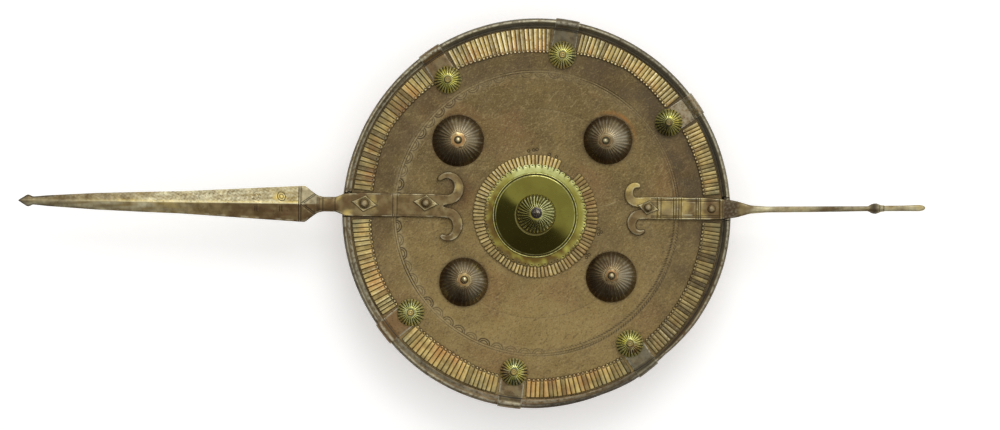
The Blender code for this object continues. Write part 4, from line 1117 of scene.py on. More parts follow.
def bolt_shell(low, seat, high, seed):
    """Shank, thin domed washer with an uneven edge, and ball head."""
    ball = high - seat - BALL_RADIUS
    rows = shank(low, seat) + [(radius, seat + height, 0) for radius, height in WASHER]
    for angle in (math.pi * (i / 8 - 0.42) / 1.84 for i in range(9)):
        radius = max(BALL_WAIST * math.cos(angle), 0.01)
        rows.append((radius, seat + ball + BALL_RADIUS * math.sin(angle), 0))
    rows.append((0.01, high, 0))
    shell = fluted_shell(rows, 8, plump, seed)
    away, angle = axis_places(shell)
    height = shell.points[:, 2]
    edge = bump(away, 6.5, 2.0) * (height >= seat)
    push = 1 + 0.035 * edge * np.cos(7 * angle + seed)
    shell.fields["grime"] = bump(away, 3.4, 0.7) * (height > seat + 0.5)
    shell.fields["wear"] = bump(away, 6.4, 0.8) + (away < 2.2) * (height > seat + 3)
    return shell._replace(points=shell.points * np.column_stack([push, push, np.ones(len(push))]))


def build_bosses(finishes):
    dome = [(22.6, 0.5, 0.0), (22.3, 1.0, 0.15), (21.3, 2.6, 0.28), (19.2, 5.2, 0.34), (16.4, 7.7, 0.34),
            (13.2, 9.9, 0.3), (10.2, 11.4, 0.24), (7.6, 12.4, 0.12), (5.6, 12.85, 0.03),
            (4.5, BOSS_HEIGHT, 0)]
    rows = np.vstack([[(BOSS_HOLE, 0, 0), (22.2, 0, 0), (22.65, 0.15, 0)], smooth_rows(dome, 3),
                      [(BOSS_HOLE, BOSS_HEIGHT, 0)]])
    for number, name in enumerate(BOSSES):
        boss = BOSS_FORMS[name]
        low, high = box(f"boss_{name}")
        x, y = middle_of(f"boss_{name}")[:2]
        shift = np.array(boss.lean) / (high[2] - low[2])
        shell = fluted_shell(rows, BOSS_FLUTES, sharp, 80 + number, closed=True)
        away, angle = axis_places(shell)
        # Side is how much each part of the dome faces the light: there its tone is painted paler and its
        # crests get painted highlights, away from it its tone is painted darker, and the brim gets a painted
        # highlight on top.
        side = by_angle(angle + BOSS_TURN * number, boss.shine)
        fields = shell.fields
        fields["grime"] *= 0.6
        fields["tone"] = (0.3 * fields["tone"] + 0.75 * side * bump(away, 13, 10)
                          - 0.7 * np.clip(1 - side, 0, 1) * smoothstep(5, 9, away)
                          - 0.3 * smoothstep(16, 21, away))
        fields["wear"] *= 0.15 + 0.4 * side
        fields["wear"] += 0.8 * bump(away, 22.6, 0.5) * by_angle(angle, BRIM_HIGHLIGHTS)
        shell.points[:, :2] *= boss.spread
        shell = leaned(placed(shell, x, y, low[2], turn=BOSS_TURN * number), low[2], shift)
        make_piece(f"boss_{name}_dome", shell, finishes["dark_iron"], [f"boss_{name}"], 60)

        node = f"boss_bolt_{name}"
        bolt_low, bolt_high = box(node)
        bolt = bolt_shell(bolt_low[2], high[2] + 0.1, bolt_high[2], number)
        on_washer = axis_places(bolt)[0] > 4.5
        bolt.points[:, :2] *= np.where(on_washer, boss.washer_spread, 1.0)[:, None]
        bolt.fields["grime"] = np.maximum(bolt.fields["grime"], boss.bolt_dull)
        on_ball = bolt.points[:, 2] > high[2] + 2.2
        bolt.fields["tone"] = np.where(on_ball, boss.ball_tone, 0.4 + 0.4 * bolt.fields["tone"])
        bolt = leaned(placed(bolt, x, y), low[2], shift)
        make_piece(f"{node}_head", bolt, finishes["worn_brass"], [node], 60)


# ---------------------------------------------------------------- centre

PLATE_INNER = 34.0  # radius of the hole in the ring of rays and in the collar
LOST = (math.radians(43), math.radians(62.5))  # first and last angle of the broken rays
LOST_END = 49.4  # radius at which they broke off
RAY_HALF = 0.93  # the share of each pitch that the ray fills
# The rays by angle: the radius of their ends, their tone (warm over 0), how bright the painted highlight
# along one side of their crests is, and how dull they are.
RAY_ENDS = ((0, 58), (45, 57.5), (77, 57), (105, 57.3), (150, 58.3), (175, 58.3), (190, 57.5), (210, 56.5),
            (235, 54.5), (255, 56.5), (282, 57.5), (310, 57.5), (330, 58.3))
RAY_TONES = ((0, 0.2), (8, 0.3), (12, 0.75), (24, 0.7), (30, 0.2), (45, -0.2), (62, -0.5), (70, 0.2),
             (90, 0.1), (130, -0.1), (160, -0.3), (190, -0.2), (230, -0.1), (250, 0.1), (300, 0.35),
             (340, 0.5))
RAY_GLINTS = ((0, 0.3), (30, 0.1), (62, 0.1), (75, 0.5), (95, 0.7), (125, 0.8), (160, 0.7), (190, 0.6),
              (230, 0.5), (262, 0.7), (300, 0.5), (340, 0.3))
RAY_DULL = ((0, 0.4), (30, 0.4), (64, 0.2), (75, 0.02), (110, 0.02), (140, 0.2), (180, 0.32), (270, 0.26),
            (340, 0.4))
# Rows of points along the rays: radii near the middle, and then shares of what is left to their ends.
RAY_ROWS = (45.6, 46.3, 47.1, 48.0)
RAY_SHARES = (0.12, 0.3, 0.5, 0.7, 0.86, 0.93, 0.97, 1.0)
RAY_SHEET, COLLAR_SHEET = 0.5, 0.6  # thickness of the sheets


def spaced_rows(near, shares, outer):
    """Radii of a plate's rows at each column: the near ones, and then shares of the way to the outer edge."""
    far = near[-1] + (outer - near[-1]) * np.array(shares)[:, None]
    return np.vstack([np.array(near)[:, None] + 0 * outer, far])


def ring_plate(angle, rows, thickness, top):
    """Radii and points of a flat ring whose face has the rows of radii and their heights."""
    inner = np.full(len(angle), PLATE_INNER)
    radius = np.vstack([inner, inner, rows, rows[-1:]])
    height = np.vstack([0 * inner, thickness + 0 * inner, top, 0 * inner])
    return radius, around(radius, angle[None, :], height)


def ray_ring_shell():
    rng = np.random.default_rng(5)
    edges, angle, place, number = ring_columns(RAYS, rng, 0.08, FLUTE_STEPS)
    off_middle = np.abs(2 * place - 1)
    middle = ((edges[:-1] + edges[1:]) / 2)[number]

    def differing(low, high):
        """A random value for each ray, at all its columns."""
        return rng.uniform(low, high, RAYS)[number]

    outer = by_angle(middle, RAY_ENDS) + differing(-0.35, 0.2)
    lost = (middle > LOST[0]) & (middle < LOST[1])
    outer = np.where(lost, LOST_END + differing(-0.8, 0.6), outer)
    across = np.minimum(off_middle / RAY_HALF, 1)
    outer = outer - np.where(lost, 0, 1.2 * (1 - np.sqrt(1 - 0.98 * across**2)))
    rows = spaced_rows(RAY_ROWS, RAY_SHARES, outer)
    crest = np.sqrt(np.clip(1 - across**5.0, 0, 1))
    heights = differing(0.75, 1.1)
    ends = smoothstep(45.8, 48.0, rows) * np.sqrt(smoothstep(-0.3, 0.9, rows[-1:] - rows))
    top = RAY_SHEET + np.where(lost, 0.15, 1.15 * heights * crest) * ends
    radius, points = ring_plate(angle, rows, RAY_SHEET, top)
    glint = by_angle(angle, RAY_GLINTS) * differing(0.4, 1.2)
    grime = np.maximum.reduce([
        np.maximum(0.85 * smoothstep(0.86, 1.0, across), 0.75 * lost) + 0 * radius,
        1 - smoothstep(0.05, 0.4, radius[-1:] - radius),
        by_angle(angle, RAY_DULL) + differing(-0.1, 0.15) + 0 * radius,
    ])
    # The wear and highlight field here is a painted highlight along one side of each ray's crest.
    fields = {
        "grime": grime.clip(0, 1),
        "wear": 1.1 * bump(2 * place - 1, 0.15, 0.5) * glint * (1 - lost) + 0 * radius,
        "tone": 0.5 * by_angle(angle, RAY_TONES) + differing(-0.2, 0.2) + 0 * radius,
    }
    return grid_shell(points, fields, close_rows=True, close_columns=True)


PETALS = 48
PETAL_STEPS = np.arange(16) / 16
PETAL_HOLE = 46.1  # radius at which each petal has its hole
COLLAR_RADIUS = 47.5
COLLAR_ROWS = (38.8, 39.8, 40.6, 41.4, 42.2, 43.0, 43.8)
COLLAR_SHARES = (0.14, 0.28, 0.4, 0.5, 0.6, 0.7, 0.8, 0.89, 0.95, 1.0)
# The collar by angle: how deep the grooves between its petals are, its tone (warm over 0), partly hue and
# partly painted light (darker brown on the left and bottom, away from the light, paler on top), and its
# painted highlights.
PETAL_SEAMS = ((30, 0.5), (60, 0.9), (115, 0.9), (140, 0.4), (250, 0.25), (300, 0.25), (330, 0.5))
COLLAR_TONES_AND_SHADE = ((0, 0.1), (30, 0.0), (55, -0.5), (75, -0.9), (110, -0.9), (130, 0.1), (150, 0.6), (180, 0.95),
                (215, 0.8), (235, 0.9), (270, 1.0), (310, 0.7), (340, 0.3))
COLLAR_GLINTS = ((0, 0.4), (40, 0.5), (62, 0.7), (75, 1.0), (108, 1.0), (125, 0.5), (180, 0.15), (320, 0.15))


def collar_shell():
    rng = np.random.default_rng(6)
    _, angle, place, number = ring_columns(PETALS, rng, 0.05, PETAL_STEPS)
    off_middle = np.abs(2 * place - 1)
    rounded = 2.3 * (1 - np.sqrt(1 - 0.98 * off_middle**2))
    outer = COLLAR_RADIUS - rounded + rng.uniform(-0.3, 0.1, PETALS)[number]
    rows = spaced_rows(COLLAR_ROWS, COLLAR_SHARES, outer)
    groove = smoothstep(0.8, 0.97, off_middle) * smoothstep(42.5, 45.0, rows) * by_angle(angle, PETAL_SEAMS)
    away = np.hypot(rows - PETAL_HOLE, (place - 0.5) * TURN / PETALS * rows)
    hole = bump(away, 0, 1.0)
    lip = bump(away, 1.2, 0.5)
    dome = 0.25 * smoothstep(42.5, 45.5, rows) * (1 - off_middle**2)
    top = 0.62 + dome - 0.4 * groove + 0.08 * lip - 0.5 * smoothstep(0.2, 0.8, hole)
    _, points = ring_plate(angle, rows, COLLAR_SHEET, top)
    # Painted light by angle: highlights on the petals toward the light, and a dark veil of painted shade on
    # the side away from it.
    glint = by_angle(angle, COLLAR_GLINTS)
    blotches = ripple(around(rows, angle[None, :], 0 * rows), 9, 13)
    grime = np.maximum.reduce([groove, smoothstep(0.3, 0.8, hole), 0.8 * bump(rows, 39.2, 0.9),
                               0.4 * (1 - glint) ** 3 * (0.75 + 0.35 * blotches)])
    wear = glint * (0.4 + 0.6 * lip) * smoothstep(42.0, 44.5, rows) * (1 - groove)
    tone = by_angle(angle, COLLAR_TONES_AND_SHADE) * (1 + 0.4 * blotches)
    fields = ends_repeated({"grime": grime, "wear": wear, "tone": tone}, before=2)
    return grid_shell(points, fields, close_rows=True, close_columns=True)


# The cone: (radius, height, grime, wear) rows of its moulded edge and of its flank.
CONE_EDGE = ((39.2, 0, 0, 0), (39.5, 0.3, 0.2, 0.1), (39.5, 0.9, 0, 0.35), (39.2, 1.45, 0, 0.5),
             (38.7, 1.65, 0, 0.4), (38.2, 1.45, 0.3, 0.1), (37.9, 0.95, 1.0, 0), (37.6, 0.9, 1.0, 0),
             (37.3, 1.3, 0.4, 0.1), (36.9, 1.75, 0, 0.45), (36.4, 1.95, 0, 0.25), (35.9, 2.2, 0, 0.05))
CONE_FLANK = ((35.3, 2.75, 0, 0), (33.0, 4.31, 0, 0), (28.0, 7.71, 0, 0), (23.0, 11.11, 0, 0),
              (20.4, 12.88, 0, 0), (19.0, 13.83, 0, 0), (18.6, 13.9, 0.5, 0), (16.0, 13.9, 0.5, 0))
CONE_HOLE = 5.5
CONE_SIDES = 192
# The cone's tone by angle, warm over 0: browner and darker toward the lower left, away from the light, as
# painted shade.
CONE_TONES_AND_SHADE = ((40, 0.0), (100, 0.12), (150, 0.0), (190, 0.15), (260, 0.45), (300, 0.35), (340, 0.05))


def cone_shell():
    """A plain turned cone, a little uneven."""
    rows = np.vstack([[(CONE_HOLE, 0, 0, 0)], smooth_path(CONE_EDGE, 2), smooth_path(CONE_FLANK, 6),
                      [(CONE_HOLE, 13.9, 0, 0)]])
    angle = angles_round(CONE_SIDES)
    points = around(rows[:, :1], angle[None, :], rows[:, 1:2])
    points[..., 2] += 0.05 * ripple(points, 24, 11) * smoothstep(0.5, 3.0, rows[:, 1:2])
    tone = by_angle(angle, CONE_TONES_AND_SHADE) + 0 * rows[:, :1]
    fields = {"grime": rows[:, 2:3], "wear": rows[:, 3:4], "tone": tone}
    return grid_shell(points, fields, close_rows=True, close_columns=True)


# (radius, height, depth of the grooves) of the fluted bead's dome, its hole, and its painted highlight by
# angle, strongest toward the light.
BEAD_DOME = ((18.5, 0.6, 0.3), (18.0, 1.8, 0.9), (16.7, 3.6, 1.15), (14.5, 5.5, 1.15), (12.0, 7.1, 1.0),
             (9.5, 8.4, 0.85), (7.4, 9.3, 0.6), (6.0, 9.75, 0.3), (4.8, 9.95, 0))
BEAD_HOLE = 3.6
BEAD_FLUTES = 32
BEAD_SWIRL = 0.22
BEAD_HIGHLIGHT = ((0, 1.4), (50, 0.8), (80, 0.5), (120, 0.35), (160, 0.15), (260, 0.1), (300, 0.5), (330, 1.0))


def bead_shell():
    rows = np.vstack([[(BEAD_HOLE, 0, 0), (18.0, 0, 0), (18.5, 0.15, 0.1)], smooth_rows(BEAD_DOME, 3),
                      [(BEAD_HOLE, 9.95, 0)]])
    shell = fluted_shell(rows, BEAD_FLUTES, plump, 12, BEAD_SWIRL, closed=True, soiled_and_shaded=(0.15, 0.6),
                         rubbed=(0.6, 0.85))
    away, angle = axis_places(shell)
    # Painted light by angle: brighter crests, less grime and a paler tone on the side toward the light, and a
    # darker tone on the other side.
    shine = by_angle(angle, BEAD_HIGHLIGHT)
    shell.fields["wear"] *= 1.8 * shine * (1 - smoothstep(16.5, 18.3, away))
    shell.fields["grime"] *= 1 - 0.45 * shine
    shell.fields["tone"] = 0.3 - 0.8 * shine
    return shell


FINIAL_HEIGHT = 13.0  # over the bead
FINIAL_PEEN = 6.0
# (radius, height over the bead, squareness) of its knop and its spike, without the tip.
KNOP = ((5.0, 0, 0), (5.3, 0.4, 0), (5.3, 1.3, 0), (4.9, 1.9, 0), (4.1, 2.3, 0), (3.7, 2.7, 0.2))
SPIKE = ((3.6, 3.3, 0.7), (3.4, 4.4, 1), (2.7, 6.6, 1), (1.6, 9.6, 1), (0.5, 12.4, 1))
SPIKE_SIDES = 48
# Painted highlights on the facets of the spike and the knop that face the light, by angle.
SPIKE_HIGHLIGHT = ((350, 0.2), (0, 1.0), (80, 1.0), (95, 0.2), (170, 0.3), (180, 0.05), (350, 0.05))


def finial_shell():
    """Knop and four-sided spike, above the shank that goes through all to its peened end behind."""
    low, high = (corner[2] for corner in box("finial"))
    seat = high - low - FINIAL_HEIGHT
    head = [(radius, seat + height, square) for radius, height, square in (*KNOP, *SPIKE)]
    rows = np.array([*shank(0, seat, FINIAL_PEEN), *head, (0.01, high - low, 1)])
    angle = angles_round(SPIKE_SIDES)
    square = math.cos(TURN / 8) / np.cos(np.abs(angle % (TURN / 4) - TURN / 8))
    radius = rows[:, :1] * (1 + rows[:, 2:] * (square - 1))
    points = around(radius, angle[None, :], rows[:, 1:2])
    # Shine is where the facets get painted highlights: toward the light.
    shine = by_angle(angle, SPIKE_HIGHLIGHT)
    fields = {
        "grime": bump(rows[:, 1:2], seat + 2.6, 0.9) + 0 * radius,
        "wear": (rows[:, 2:] * np.maximum(0.6 * bump(square, 1, 0.08), shine)
                 + 0.5 * bump(rows[:, 1:2], seat + 2.0, 0.7) * shine),
    }
    return grid_shell(points, fields, close_columns=True)


def build_centre(finishes):
    for name, shell, finish, slot, node, smooth in (
        ("rays", ray_ring_shell(), "gilt_copper", "gilt_copper", "ray_ring", 50),
        ("collar", collar_shell(), "boss_brass", "boss_brass", "petal_collar", 45),
        ("cone", cone_shell(), "boss_brass", "boss_brass", "boss_cone", 45),
        ("bead", bead_shell(), "boss_brass", "boss_brass", "fluted_bead", 60),
        ("spiked_finial", finial_shell(), "spike_steel", "arm_iron", "finial", 25),
    ):
        shell = placed(shell, *middle_of(node)[:2], box(node)[0][2])
        make_piece(name, shell, finishes[finish], [node], smooth)


# ---------------------------------------------------------------- arms

# Rows of each arm's outline and body: distance from the middle, half width, half height, and fullness
# of the section, from 1 for a lozenge to 8 for a flat bar.
DAGGER_ROWS = (
    (88, 10, 1.5, 8), (96, 11, 1.5, 8), (170, 11, 1.5, 8), (177, 10.6, 1.7, 5), (181, 8.8, 1.8, 3),
    (185.5, 6.9, 3.4, 2), (197, 6.8, 3.5, 2), (202, 7.9, 3.4, 1.8), (208, 12, 3.2, 1.3),
    (213.8, 16.7, 3.1, 1.1), (217, 16.7, 3.1, 1.05), (330, 10.3, 2.8, 1.05), (367, 9.2, 2.6, 1.1),
    (407, 7.7, 2.4, 1.2), (452, 5, 2.1, 1.3), (466, 3.7, 2, 1.6), (468, 5, 2.3, 1.2), (470.7, 5.7, 2.5, 1.1),
    (479.2, 0.4, 0.4, 1.2),
)
ROD_ROWS = (
    (97, 9.6, 1.5, 8), (102, 10.5, 1.5, 8), (160, 10.3, 1.5, 8), (172.4, 9.3, 1.6, 8), (181, 8.3, 1.7, 6),
    (186, 7.3, 2.4, 3.4), (198, 3.9, 3.9, 3.2), (213, 2.8, 4.2, 3.6), (240, 2.75, 3.9, 3.8),
    (275, 2.6, 3.5, 3.8), (306.5, 2.3, 3.1, 3.2), (307.5, 2.9, 3.4, 2), (310, 4.4, 4.4, 2), (313.7, 5, 5, 2),
    (316.6, 4.2, 4.2, 2), (317.6, 3.2, 3.4, 2), (320.6, 3.2, 3.4, 2), (321.2, 2.6, 2.8, 3.2),
    (338, 2.6, 2.4, 3.6), (354, 3, 2, 3.4), (358, 2.2, 1.7, 2), (359.5, 0.8, 1, 2),
)
# Scrolls of the forked ends: middle along and across the arm, radii along and across, half widths at
# the root and the tip, and the degrees that it sweeps.
Scroll = namedtuple("Scroll", "reach lateral along across root tip sweep")
DAGGER_SCROLLS = (Scroll(82.4, 16.8, 10.5, 11.3, 4.8, 2.5, 225),
                  Scroll(82.4, -18.3, 9.7, 11.6, 5.1, 2.3, 208))
ROD_SCROLLS = (Scroll(91.7, 13.3, 6.3, 7.8, 4.4, 2.4, 200), Scroll(95.2, -14.5, 7.1, 8.2, 4.7, 2.0, 212))
UNDER_ARM = 0.3  # from the leather's face to the arms' underside
STRAP_MIDDLE = 1.5  # height of the arms' middle over their underside
PLATE_EDGE = 1.2  # width of the plates' rounded edge
SHAPED = (176, 183)  # where the flat straps turn into a blade or a rod
SMOOTHING = np.linspace(-1.1, 1.1, 7)
ROD_BOW, BOW_START, BOW_LENGTH = 3.4, 200, 159.5


def rod_bow(reach):
    """How far the rod bends to +Y on its way out."""
    return ROD_BOW * np.maximum(0, (reach - BOW_START) / BOW_LENGTH) ** 1.2


def no_bow(reach):
    return 0.0 * reach


def section_at(rows, reach, column):
    """A value of the arm's rows at each distance, smoothed over about two millimetres."""
    places, values = np.array(rows)[:, 0], np.array(rows)[:, column]
    near_tip = smoothstep(places[-1] - 3, places[-1], reach)
    smoothed = np.interp(reach[:, None] + SMOOTHING, places, values).mean(axis=-1)
    return smoothed * (1 - near_tip) + np.interp(reach, places, values) * near_tip


def scroll_outline(scroll):
    """The outline of a scroll's bar: its hollow side from root to tip, its round tip, and its outer side."""
    outward = math.copysign(1.0, scroll.lateral)
    share = np.linspace(0, 1, 40)
    angle = -math.pi / 2 - math.radians(scroll.sweep) * share
    path = np.column_stack([scroll.reach + scroll.along * np.cos(angle),
                            scroll.lateral + outward * scroll.across * np.sin(angle)])
    along = (1 + 8 * share) / 9  # the bar's path starts one step before the ellipse
    half = scroll.root + (scroll.tip - scroll.root) * np.maximum(0, along - 0.45) / 0.55
    side = side_of(path)
    last_step = np.gradient(path, axis=0)[-1]
    hollow = path - outward * side * half[:, None]
    outer = path + outward * side * half[:, None]
    tip = path[-1] + last_step / np.linalg.norm(last_step) * half[-1] * np.array([[0.75], [1.0], [0.75]])
    tip = tip - outward * side[-1] * half[-1] * np.array([[0.65], [0.0], [-0.65]])
    return np.vstack([hollow, tip, outer[::-1]])


def arm_outline(rows, bow, scrolls, notch):
    """The arm's closed outline: up one side of the strap and blade and back, then round both scrolls."""
    start, end = rows[0][0] + 6, rows[-1][0]  # the scrolls take up the first six millimetres
    reach = np.unique(np.concatenate([np.arange(start, end, 1.0), [end]]))
    half = section_at(rows, reach, 1)
    upper = np.column_stack([reach, bow(reach) + half])
    lower = np.column_stack([reach, bow(reach) - half])
    first, second = (scroll_outline(scroll) for scroll in scrolls)
    return np.vstack([lower, upper[::-1], first, [notch], second[::-1]])


def plate_profile(distance):
    """0 at a plate's edge, rising steeply and then flat."""
    return (1 - (1 - np.clip(distance / PLATE_EDGE, 0, 1)) ** 3) ** (1 / 1.6)


def arm_form(rows, bow, marks):
    """The form function of one arm for slab_shell. Marks takes flat points and gives grooves and fields."""

    def form(flat, distance):
        reach, lateral = flat.T
        half_width, half_height, fullness = (section_at(rows, reach, i) for i in (1, 2, 3))
        away = np.clip(np.abs(lateral - bow(reach)) / half_width, 0, 1)
        round_form = (1 - away**fullness) ** (1 / fullness)
        shaped = smoothstep(*SHAPED, reach)
        rise = half_height * ((1 - shaped) * plate_profile(distance) + shaped * round_form)
        rise = np.where(distance > 0, rise, 0)
        groove, fields = marks(flat, distance)
        dents = 0.07 * ripple(flat, 9, 31) + 0.1 * ripple(flat, 30, 32)
        free = smoothstep(0.3, 1.5, distance)
        top = STRAP_MIDDLE + rise + free * (dents - groove)
        # Along each edge a light band, rubbed wear with a painted highlight; and on the flat straps a dark
        # line at the very edge, painted shade.
        rubbed = bump(distance, 0.95, 0.75) * (0.05 + 0.45 * smoothstep(-0.1, 0.7, ripple(flat, 12, 33)))
        soiled_and_shaded = 0.6 * (1 - shaped) * (1 - smoothstep(0.1, 0.5, distance))
        fields["wear"] = np.maximum(fields["wear"], rubbed)
        fields["grime"] = np.maximum(fields["grime"], soiled_and_shaded)
        return top, STRAP_MIDDLE - rise, fields

    return form


def cut_lines(flat, lines):
    """1 on the lines, falling to 0 at their half width, and the brighter lips beside them."""
    away = np.minimum.reduce([distance_to(flat, line) for line in lines])
    return bump(away, 0, LINE_HALF), bump(away, 2.0 * LINE_HALF, LINE_HALF)


def almond(middle, half_long, half_wide, turn, scale=1.0):
    """A closed path of an almond shape."""
    share = np.linspace(0, TURN, 33)
    x = half_long * scale * np.cos(share)
    y = half_wide * scale * np.sin(share) * np.abs(np.sin(share)) ** 0.3
    cos, sin = math.cos(turn), math.sin(turn)
    return np.column_stack([middle[0] + x * cos - y * sin, middle[1] + x * sin + y * cos])


def across_arm(reaches, half):
    """Straight lines across an arm, at each distance from the middle."""
    return [[(reach, -half), (reach, half)] for reach in reaches]


# The middles of the two almond rings on the blade.
BRASS_RING = (236.0, 6.6)
FAINT_RING = (259.0, 6.6)
RIDGE = ((215.0, 0.0), (476.0, 0.0))
GROOVE_DEPTH = 0.4


def dagger_lines():
    """The engraved lines of the dagger arm, by how deep they are: plain, fine and faint ones."""
    plain = across_arm((218.0, 219.9), 16.2)
    plain += [[(217.4 - shift, side * 0.8), (204.4 - shift, side * 10.4)]
              for shift in (0, 2.1) for side in (1, -1)]
    plain.append(almond(BRASS_RING, 4.4, 3.6, 1.1))
    fine = across_arm((129.0, 133.0), 10.2) + across_arm((186.3, 197.6, 201.2, 202.9), 6.4)
    fine += [[(r, -6.8), (r, -2.6)] for r in (235.6, 237.6, 258.6, 260.4)]
    fine.append(almond(BRASS_RING, 4.4, 3.6, 1.1, 0.5))
    faint = [almond(FAINT_RING, 4.2, 3.3, 1.2, scale) for scale in (1.0, 0.55)]
    faint += [[(92 + 8 * i, side * 9.2) for i in range(10)] for side in (1, -1)]
    return plain, fine, faint


def dagger_marks(flat, distance):
    """Grooves and fields of the dagger arm: silver on the blade's upper half, brown on the lower one, gold
    by the neck, and a painted highlight along the ridge, gold beside it and pale on it."""
    (cut, lip), (fine, fine_lip), (faint, _) = (cut_lines(flat, lines) for lines in dagger_lines())
    cut = np.maximum.reduce([cut, 0.75 * fine, 0.4 * faint])
    reach, lateral = flat.T
    blade = smoothstep(219, 221, reach)
    shoulder = smoothstep(199, 205, reach) * (1 - blade)
    upper = smoothstep(-0.3, 0.3, lateral)
    far = smoothstep(330, 450, reach)
    brass = blade * bump(distance_to(flat, [BRASS_RING, (240.0, 6.0)]), 0, 6.5)
    streaks = ripple(flat * (0.14, 1.0), 4.5, 36)
    silver = 0.6 * (1 - 0.7 * far) * upper * (1 - 0.9 * brass)
    mottle = 0.22 * streaks + 0.3 * ripple(flat, 2.7, 38)
    silver = silver * (blade * (0.45 + 0.45 * bump(reach, 300, 110) + mottle) + 0.6 * shoulder)
    fading = blade * (1 - 0.75 * smoothstep(240, 330, reach))
    brown = (1 - upper) * (fading + 0.7 * shoulder) * (1 - 0.9 * far) * (1 + 0.25 * streaks)
    gold = blade * upper * (0.1 * bump(reach, 228, 40) + 0.1 * (1 - far)) + 0.8 * brass
    # A painted highlight line along the blade's ridge: gold beside it on the upper side, and the glint colour
    # on it.
    gold_ridge_highlight = 0.9 * blade * bump(lateral, 1.0, 1.8) * (1 - far)
    gold += 0.3 * blade * (1 - upper) * bump(reach, 340, 90) + gold_ridge_highlight
    ridge_highlight = blade * bump(lateral, 0.35, 0.6) * (1 - 0.6 * far)
    tone = gold - 0.85 * brown - (1 - blade - shoulder) * (0.3 + 0.25 * ripple(flat, 18, 39))
    arrow_edge = bump(distance, 0.6, 1.1) * smoothstep(445, 447, reach)
    lower_half = 0.4 * blade * (1 - upper) * smoothstep(300, 380, reach) * (0.7 + 0.4 * streaks)
    fields = {
        "grime": np.clip(1.2 * cut + 0.12 * far + 0.7 * arrow_edge, 0, 1),
        "wear": np.maximum.reduce([silver, lower_half, 0.9 * ridge_highlight, 0.55 * np.maximum(lip, fine_lip)]),
        "tone": np.clip(tone, -1, 1),
        "pits": np.clip(upper * blade * (0.25 + 0.7 * bump(reach, 300, 90)) + 0.35 * far, 0, 1),
    }
    return GROOVE_DEPTH * cut, fields


ROD_CROSS_LINES = (111.6, 115.0, 126.8, 129.0, 131.6, 133.8, 147.6, 149.6, 151.6, 169.0, 172.2)


def rod_lines():
    """The engraved lines of the rod's strap: those across it, and two along each side."""
    along = [[(106 + 8 * i, side * (inset - 0.13 * i)) for i in range(9)]
             for side in (1, -1) for inset in (8.9, 7.5)]
    return across_arm(ROD_CROSS_LINES, 9.6), along


def rod_marks(flat, distance):
    """Grooves and fields of the rod arm: a rubbed panel on its strap, a dark neck, and a steel rod whose
    knob and middle are duller."""
    cross, along = rod_lines()
    cut, lip = cut_lines(flat, cross + along)
    reach, lateral = flat.T
    collar = np.maximum(bump(reach, 317.2, 0.6), bump(reach, 321.0, 0.6))
    panel = smoothstep(108, 114, reach) * (1 - smoothstep(150, 156, reach))
    root = 1 - smoothstep(98, 106, reach)
    neck = smoothstep(172.5, 174, reach) * (1 - smoothstep(184, 190, reach))
    rod = smoothstep(190, 205, reach)
    knob = bump(reach, 312, 6)
    tip = smoothstep(335, 355, reach)
    tone = 0.15 * panel + 0.15 * ripple(flat, 14, 37) - 0.95 * neck + (0.3 - 0.75 * (lateral < 0)) * root
    tone = tone - 0.55 * bump(reach, 163, 11) - 0.2 * rod * bump(reach, 280, 40) - 0.5 * knob
    dulled = 0.38 - 0.26 * bump(reach, 280, 45) - 0.1 * tip - 0.3 * knob
    rod_wear = rod * (dulled + 0.15 * ripple(flat * (0.3, 1.0), 7, 35))
    neck_wear = 0.3 * neck * np.clip(ripple(flat, 2.6, 34) - 0.2, 0, 1)
    grime = [1.1 * cut, collar, 0.7 * knob, 0.5 * neck, 0.4 * rod * bump(reach, 275, 45)]
    fields = {
        "grime": np.maximum.reduce(grime).clip(0, 1),
        "wear": np.maximum.reduce([0.9 * panel * lip, rod_wear, 0.14 * tip, neck_wear]),
        "tone": np.clip(tone, -1, 1),
        "pits": 0.3 * rod,
    }
    return GROOVE_DEPTH * cut, fields


def on_arm(shell, side):
    """From the arm's own frame, with its distance from the middle first, to the shield's."""
    mirrored = shell._replace(points=shell.points * (side, 1, 1))
    return placed(mirrored, CENTRE[0], CENTRE[1] + ARM_OFFSET, FACE + UNDER_ARM, ARM_LEAN)


WASHER_MIDDLE = 0.75  # height of a lozenge's edge over its underside


def washer_shell(half_long, half_wide):
    """A lozenge plate with slightly hollow sides, a raised rim and a spine to each of its long ends."""
    corners = np.array([(half_long, 0), (0, half_wide), (-half_long, 0), (0, -half_wide)])
    outline = []
    for a, b in zip(corners, np.roll(corners, -1, axis=0)):
        for t in np.arange(8) / 8:
            outline.append((a + (b - a) * t) * (1 - 0.04 * math.sin(math.pi * t)))

    def form(flat, distance):
        rise = (1 - (1 - np.clip(distance / 0.8, 0, 1)) ** 3) ** 0.6
        away = np.hypot(*flat.T)
        hollow = bump(away, 4.9, 1.3)
        spine = bump(flat[:, 1], 0, 1.0) * smoothstep(5.5, 7.5, np.abs(flat[:, 0]))
        top = 0.75 * rise + 0.25 * spine + 0.12 * bump(distance, 1.0, 0.7) - 0.35 * hollow * rise
        within = distance > 0
        fields = {
            "grime": np.maximum(0.55 * hollow, bump(distance, 0.0, 0.5)),
            "wear": 0.4 * np.maximum(bump(distance, 0.9, 0.5), 0.9 * spine),
            "tone": 0.15 + 0 * away,
        }
        return WASHER_MIDDLE + within * top, WASHER_MIDDLE - within * (0.7 * rise), fields

    return slab_shell(outline, 0.55, [], form, (0.1, 0.3, 0.6, 0.95))


